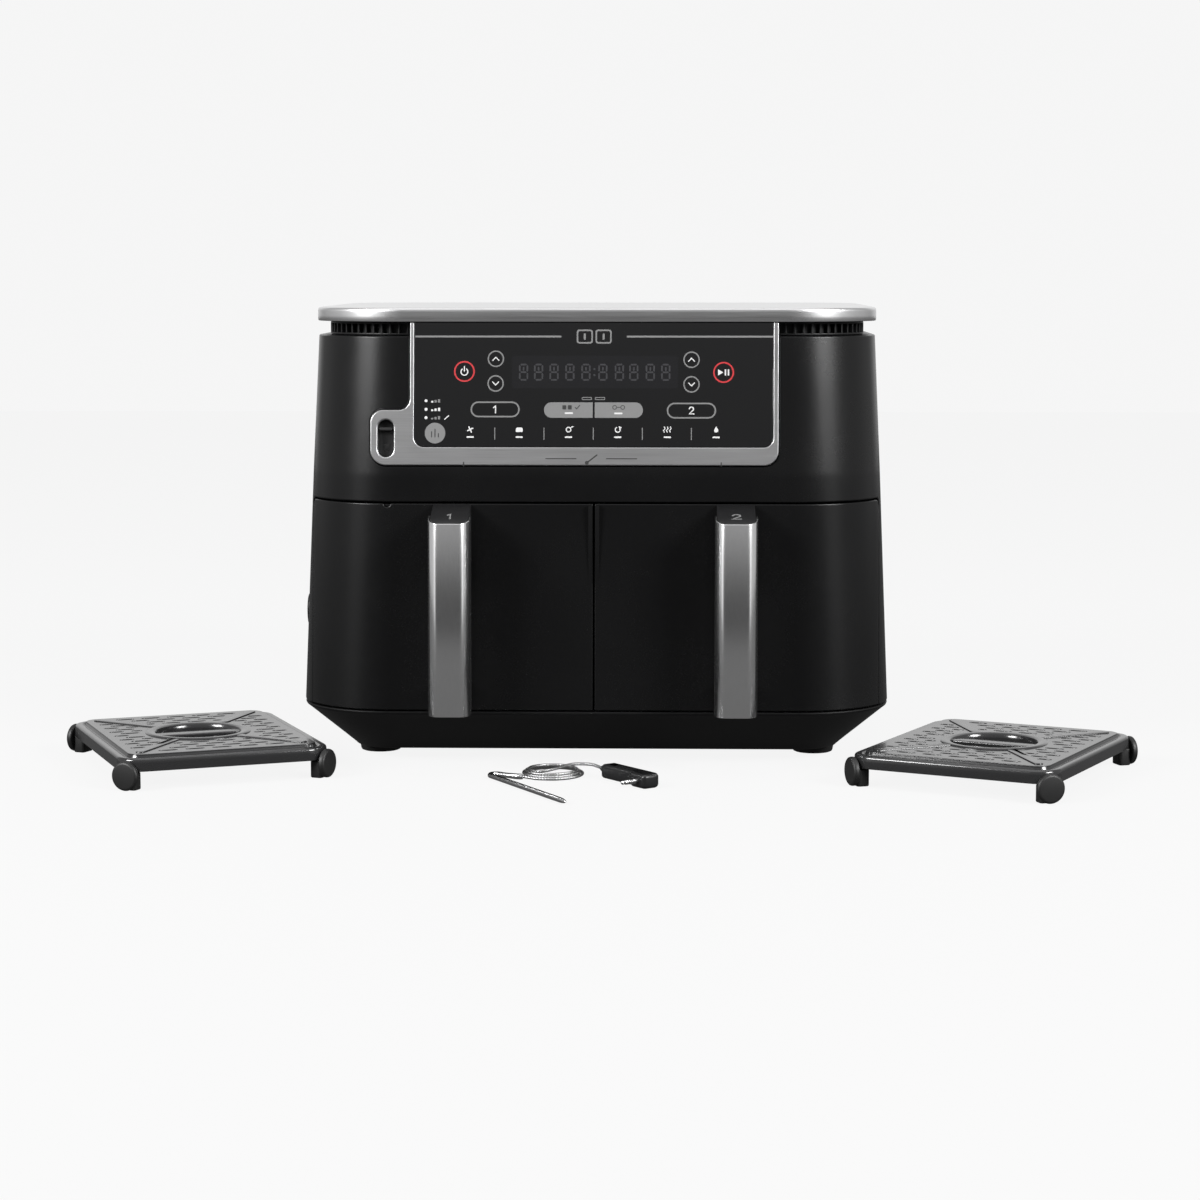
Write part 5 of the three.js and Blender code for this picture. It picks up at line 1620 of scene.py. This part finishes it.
# dim in front, bright low down behind, a little brighter overhead
behind = world_range(sep.outputs["Y"], 0.55, 0.95, 0.0, 1.0)
low = world_range(sep.outputs["Z"], 0.25, 0.75, 0.72, 0.12)
rise = world_range(sep.outputs["Z"], 0.02, 0.3, 0.05, 0.3)
crown = world_range(sep.outputs["Z"], 0.5, 1.0, 0.0, 0.24)
over_n = wt.nodes.new("ShaderNodeMath")
over_n.operation = "ADD"
wt.links.new(rise, over_n.inputs[0])
wt.links.new(crown, over_n.inputs[1])
over = over_n.outputs[0]
ab = wt.nodes.new("ShaderNodeMath")
ab.operation = "ABSOLUTE"
wt.links.new(sep.outputs["X"], ab.inputs[0])
flank = world_range(ab.outputs[0], 0.52, 0.9, 0.0, 0.46)
m1 = wt.nodes.new("ShaderNodeMath")
m1.operation = "MULTIPLY"
wt.links.new(behind, m1.inputs[0])
wt.links.new(low, m1.inputs[1])
m2 = wt.nodes.new("ShaderNodeMath")
m2.operation = "ADD"
wt.links.new(m1.outputs[0], m2.inputs[0])
wt.links.new(over, m2.inputs[1])
m3 = wt.nodes.new("ShaderNodeMath")
m3.operation = "MAXIMUM"
wt.links.new(m2.outputs[0], m3.inputs[0])
wt.links.new(flank, m3.inputs[1])
mixc = wt.nodes.new("ShaderNodeMix")
mixc.data_type = "RGBA"
wt.links.new(lp.outputs["Is Camera Ray"], mixc.inputs[0])
wt.links.new(m3.outputs[0], mixc.inputs[6])
mixc.inputs[7].default_value = (0.918, 0.918, 0.918, 1)
wt.links.new(mixc.outputs[2], wb.inputs["Color"])
wb.inputs["Strength"].default_value = 1.0


def area_light(name, loc, target, size, power, spread=None):
    d = bpy.data.lights.new(name, "AREA")
    d.shape = "RECTANGLE"
    d.size, d.size_y = size
    d.energy = power
    if spread:
        d.spread = math.radians(spread)
    o = bpy.data.objects.new(name, d)
    o.location = loc
    v = Vector(target) - Vector(loc)
    o.rotation_euler = v.to_track_quat("-Z", "Y").to_euler()
    bpy.context.scene.collection.objects.link(o)
    return o


area_light("key_top", (0.0, -0.1, 2.2), (0, 0.05, 0.1), (2.4, 1.6), 12)
for sx, nm in ((-1, "left"), (1, "right")):
    az = math.radians(54)
    d = 2.3
    area_light("softbox_" + nm, (sx * d * math.sin(az), -d * math.cos(az), 1.3), (0, 0, 0.26), (0.95, 0.8), 70)
    area_light("strip_" + nm, (sx * d * math.sin(az), -d * math.cos(az), 0.42), (0, 0, 0.26), (0.7, 0.75), 0.6)

cam = bpy.data.cameras.new("camera")
cam.sensor_width = 36.0
cam.lens = 84.6
camera = bpy.data.objects.new("camera", cam)
bpy.context.scene.collection.objects.link(camera)
AZ = math.radians(1.5)
TARGET = W([0, -110, 0])
DIST = 2.072
camera.location = (TARGET[0] + DIST * math.sin(AZ), TARGET[1] - DIST * math.cos(AZ), 0.358)
yaw = AZ - math.atan(4 / 2820)
pitch = math.atan(331.5 / 2820)
look = Vector((-math.sin(yaw) * math.cos(pitch), math.cos(yaw) * math.cos(pitch), -math.sin(pitch)))
camera.rotation_euler = look.to_track_quat("-Z", "Y").to_euler()
cam.clip_end = 50
bpy.context.scene.camera = camera
bpy.context.scene.view_settings.view_transform = "Standard"
bpy.context.scene.view_settings.look = "None"
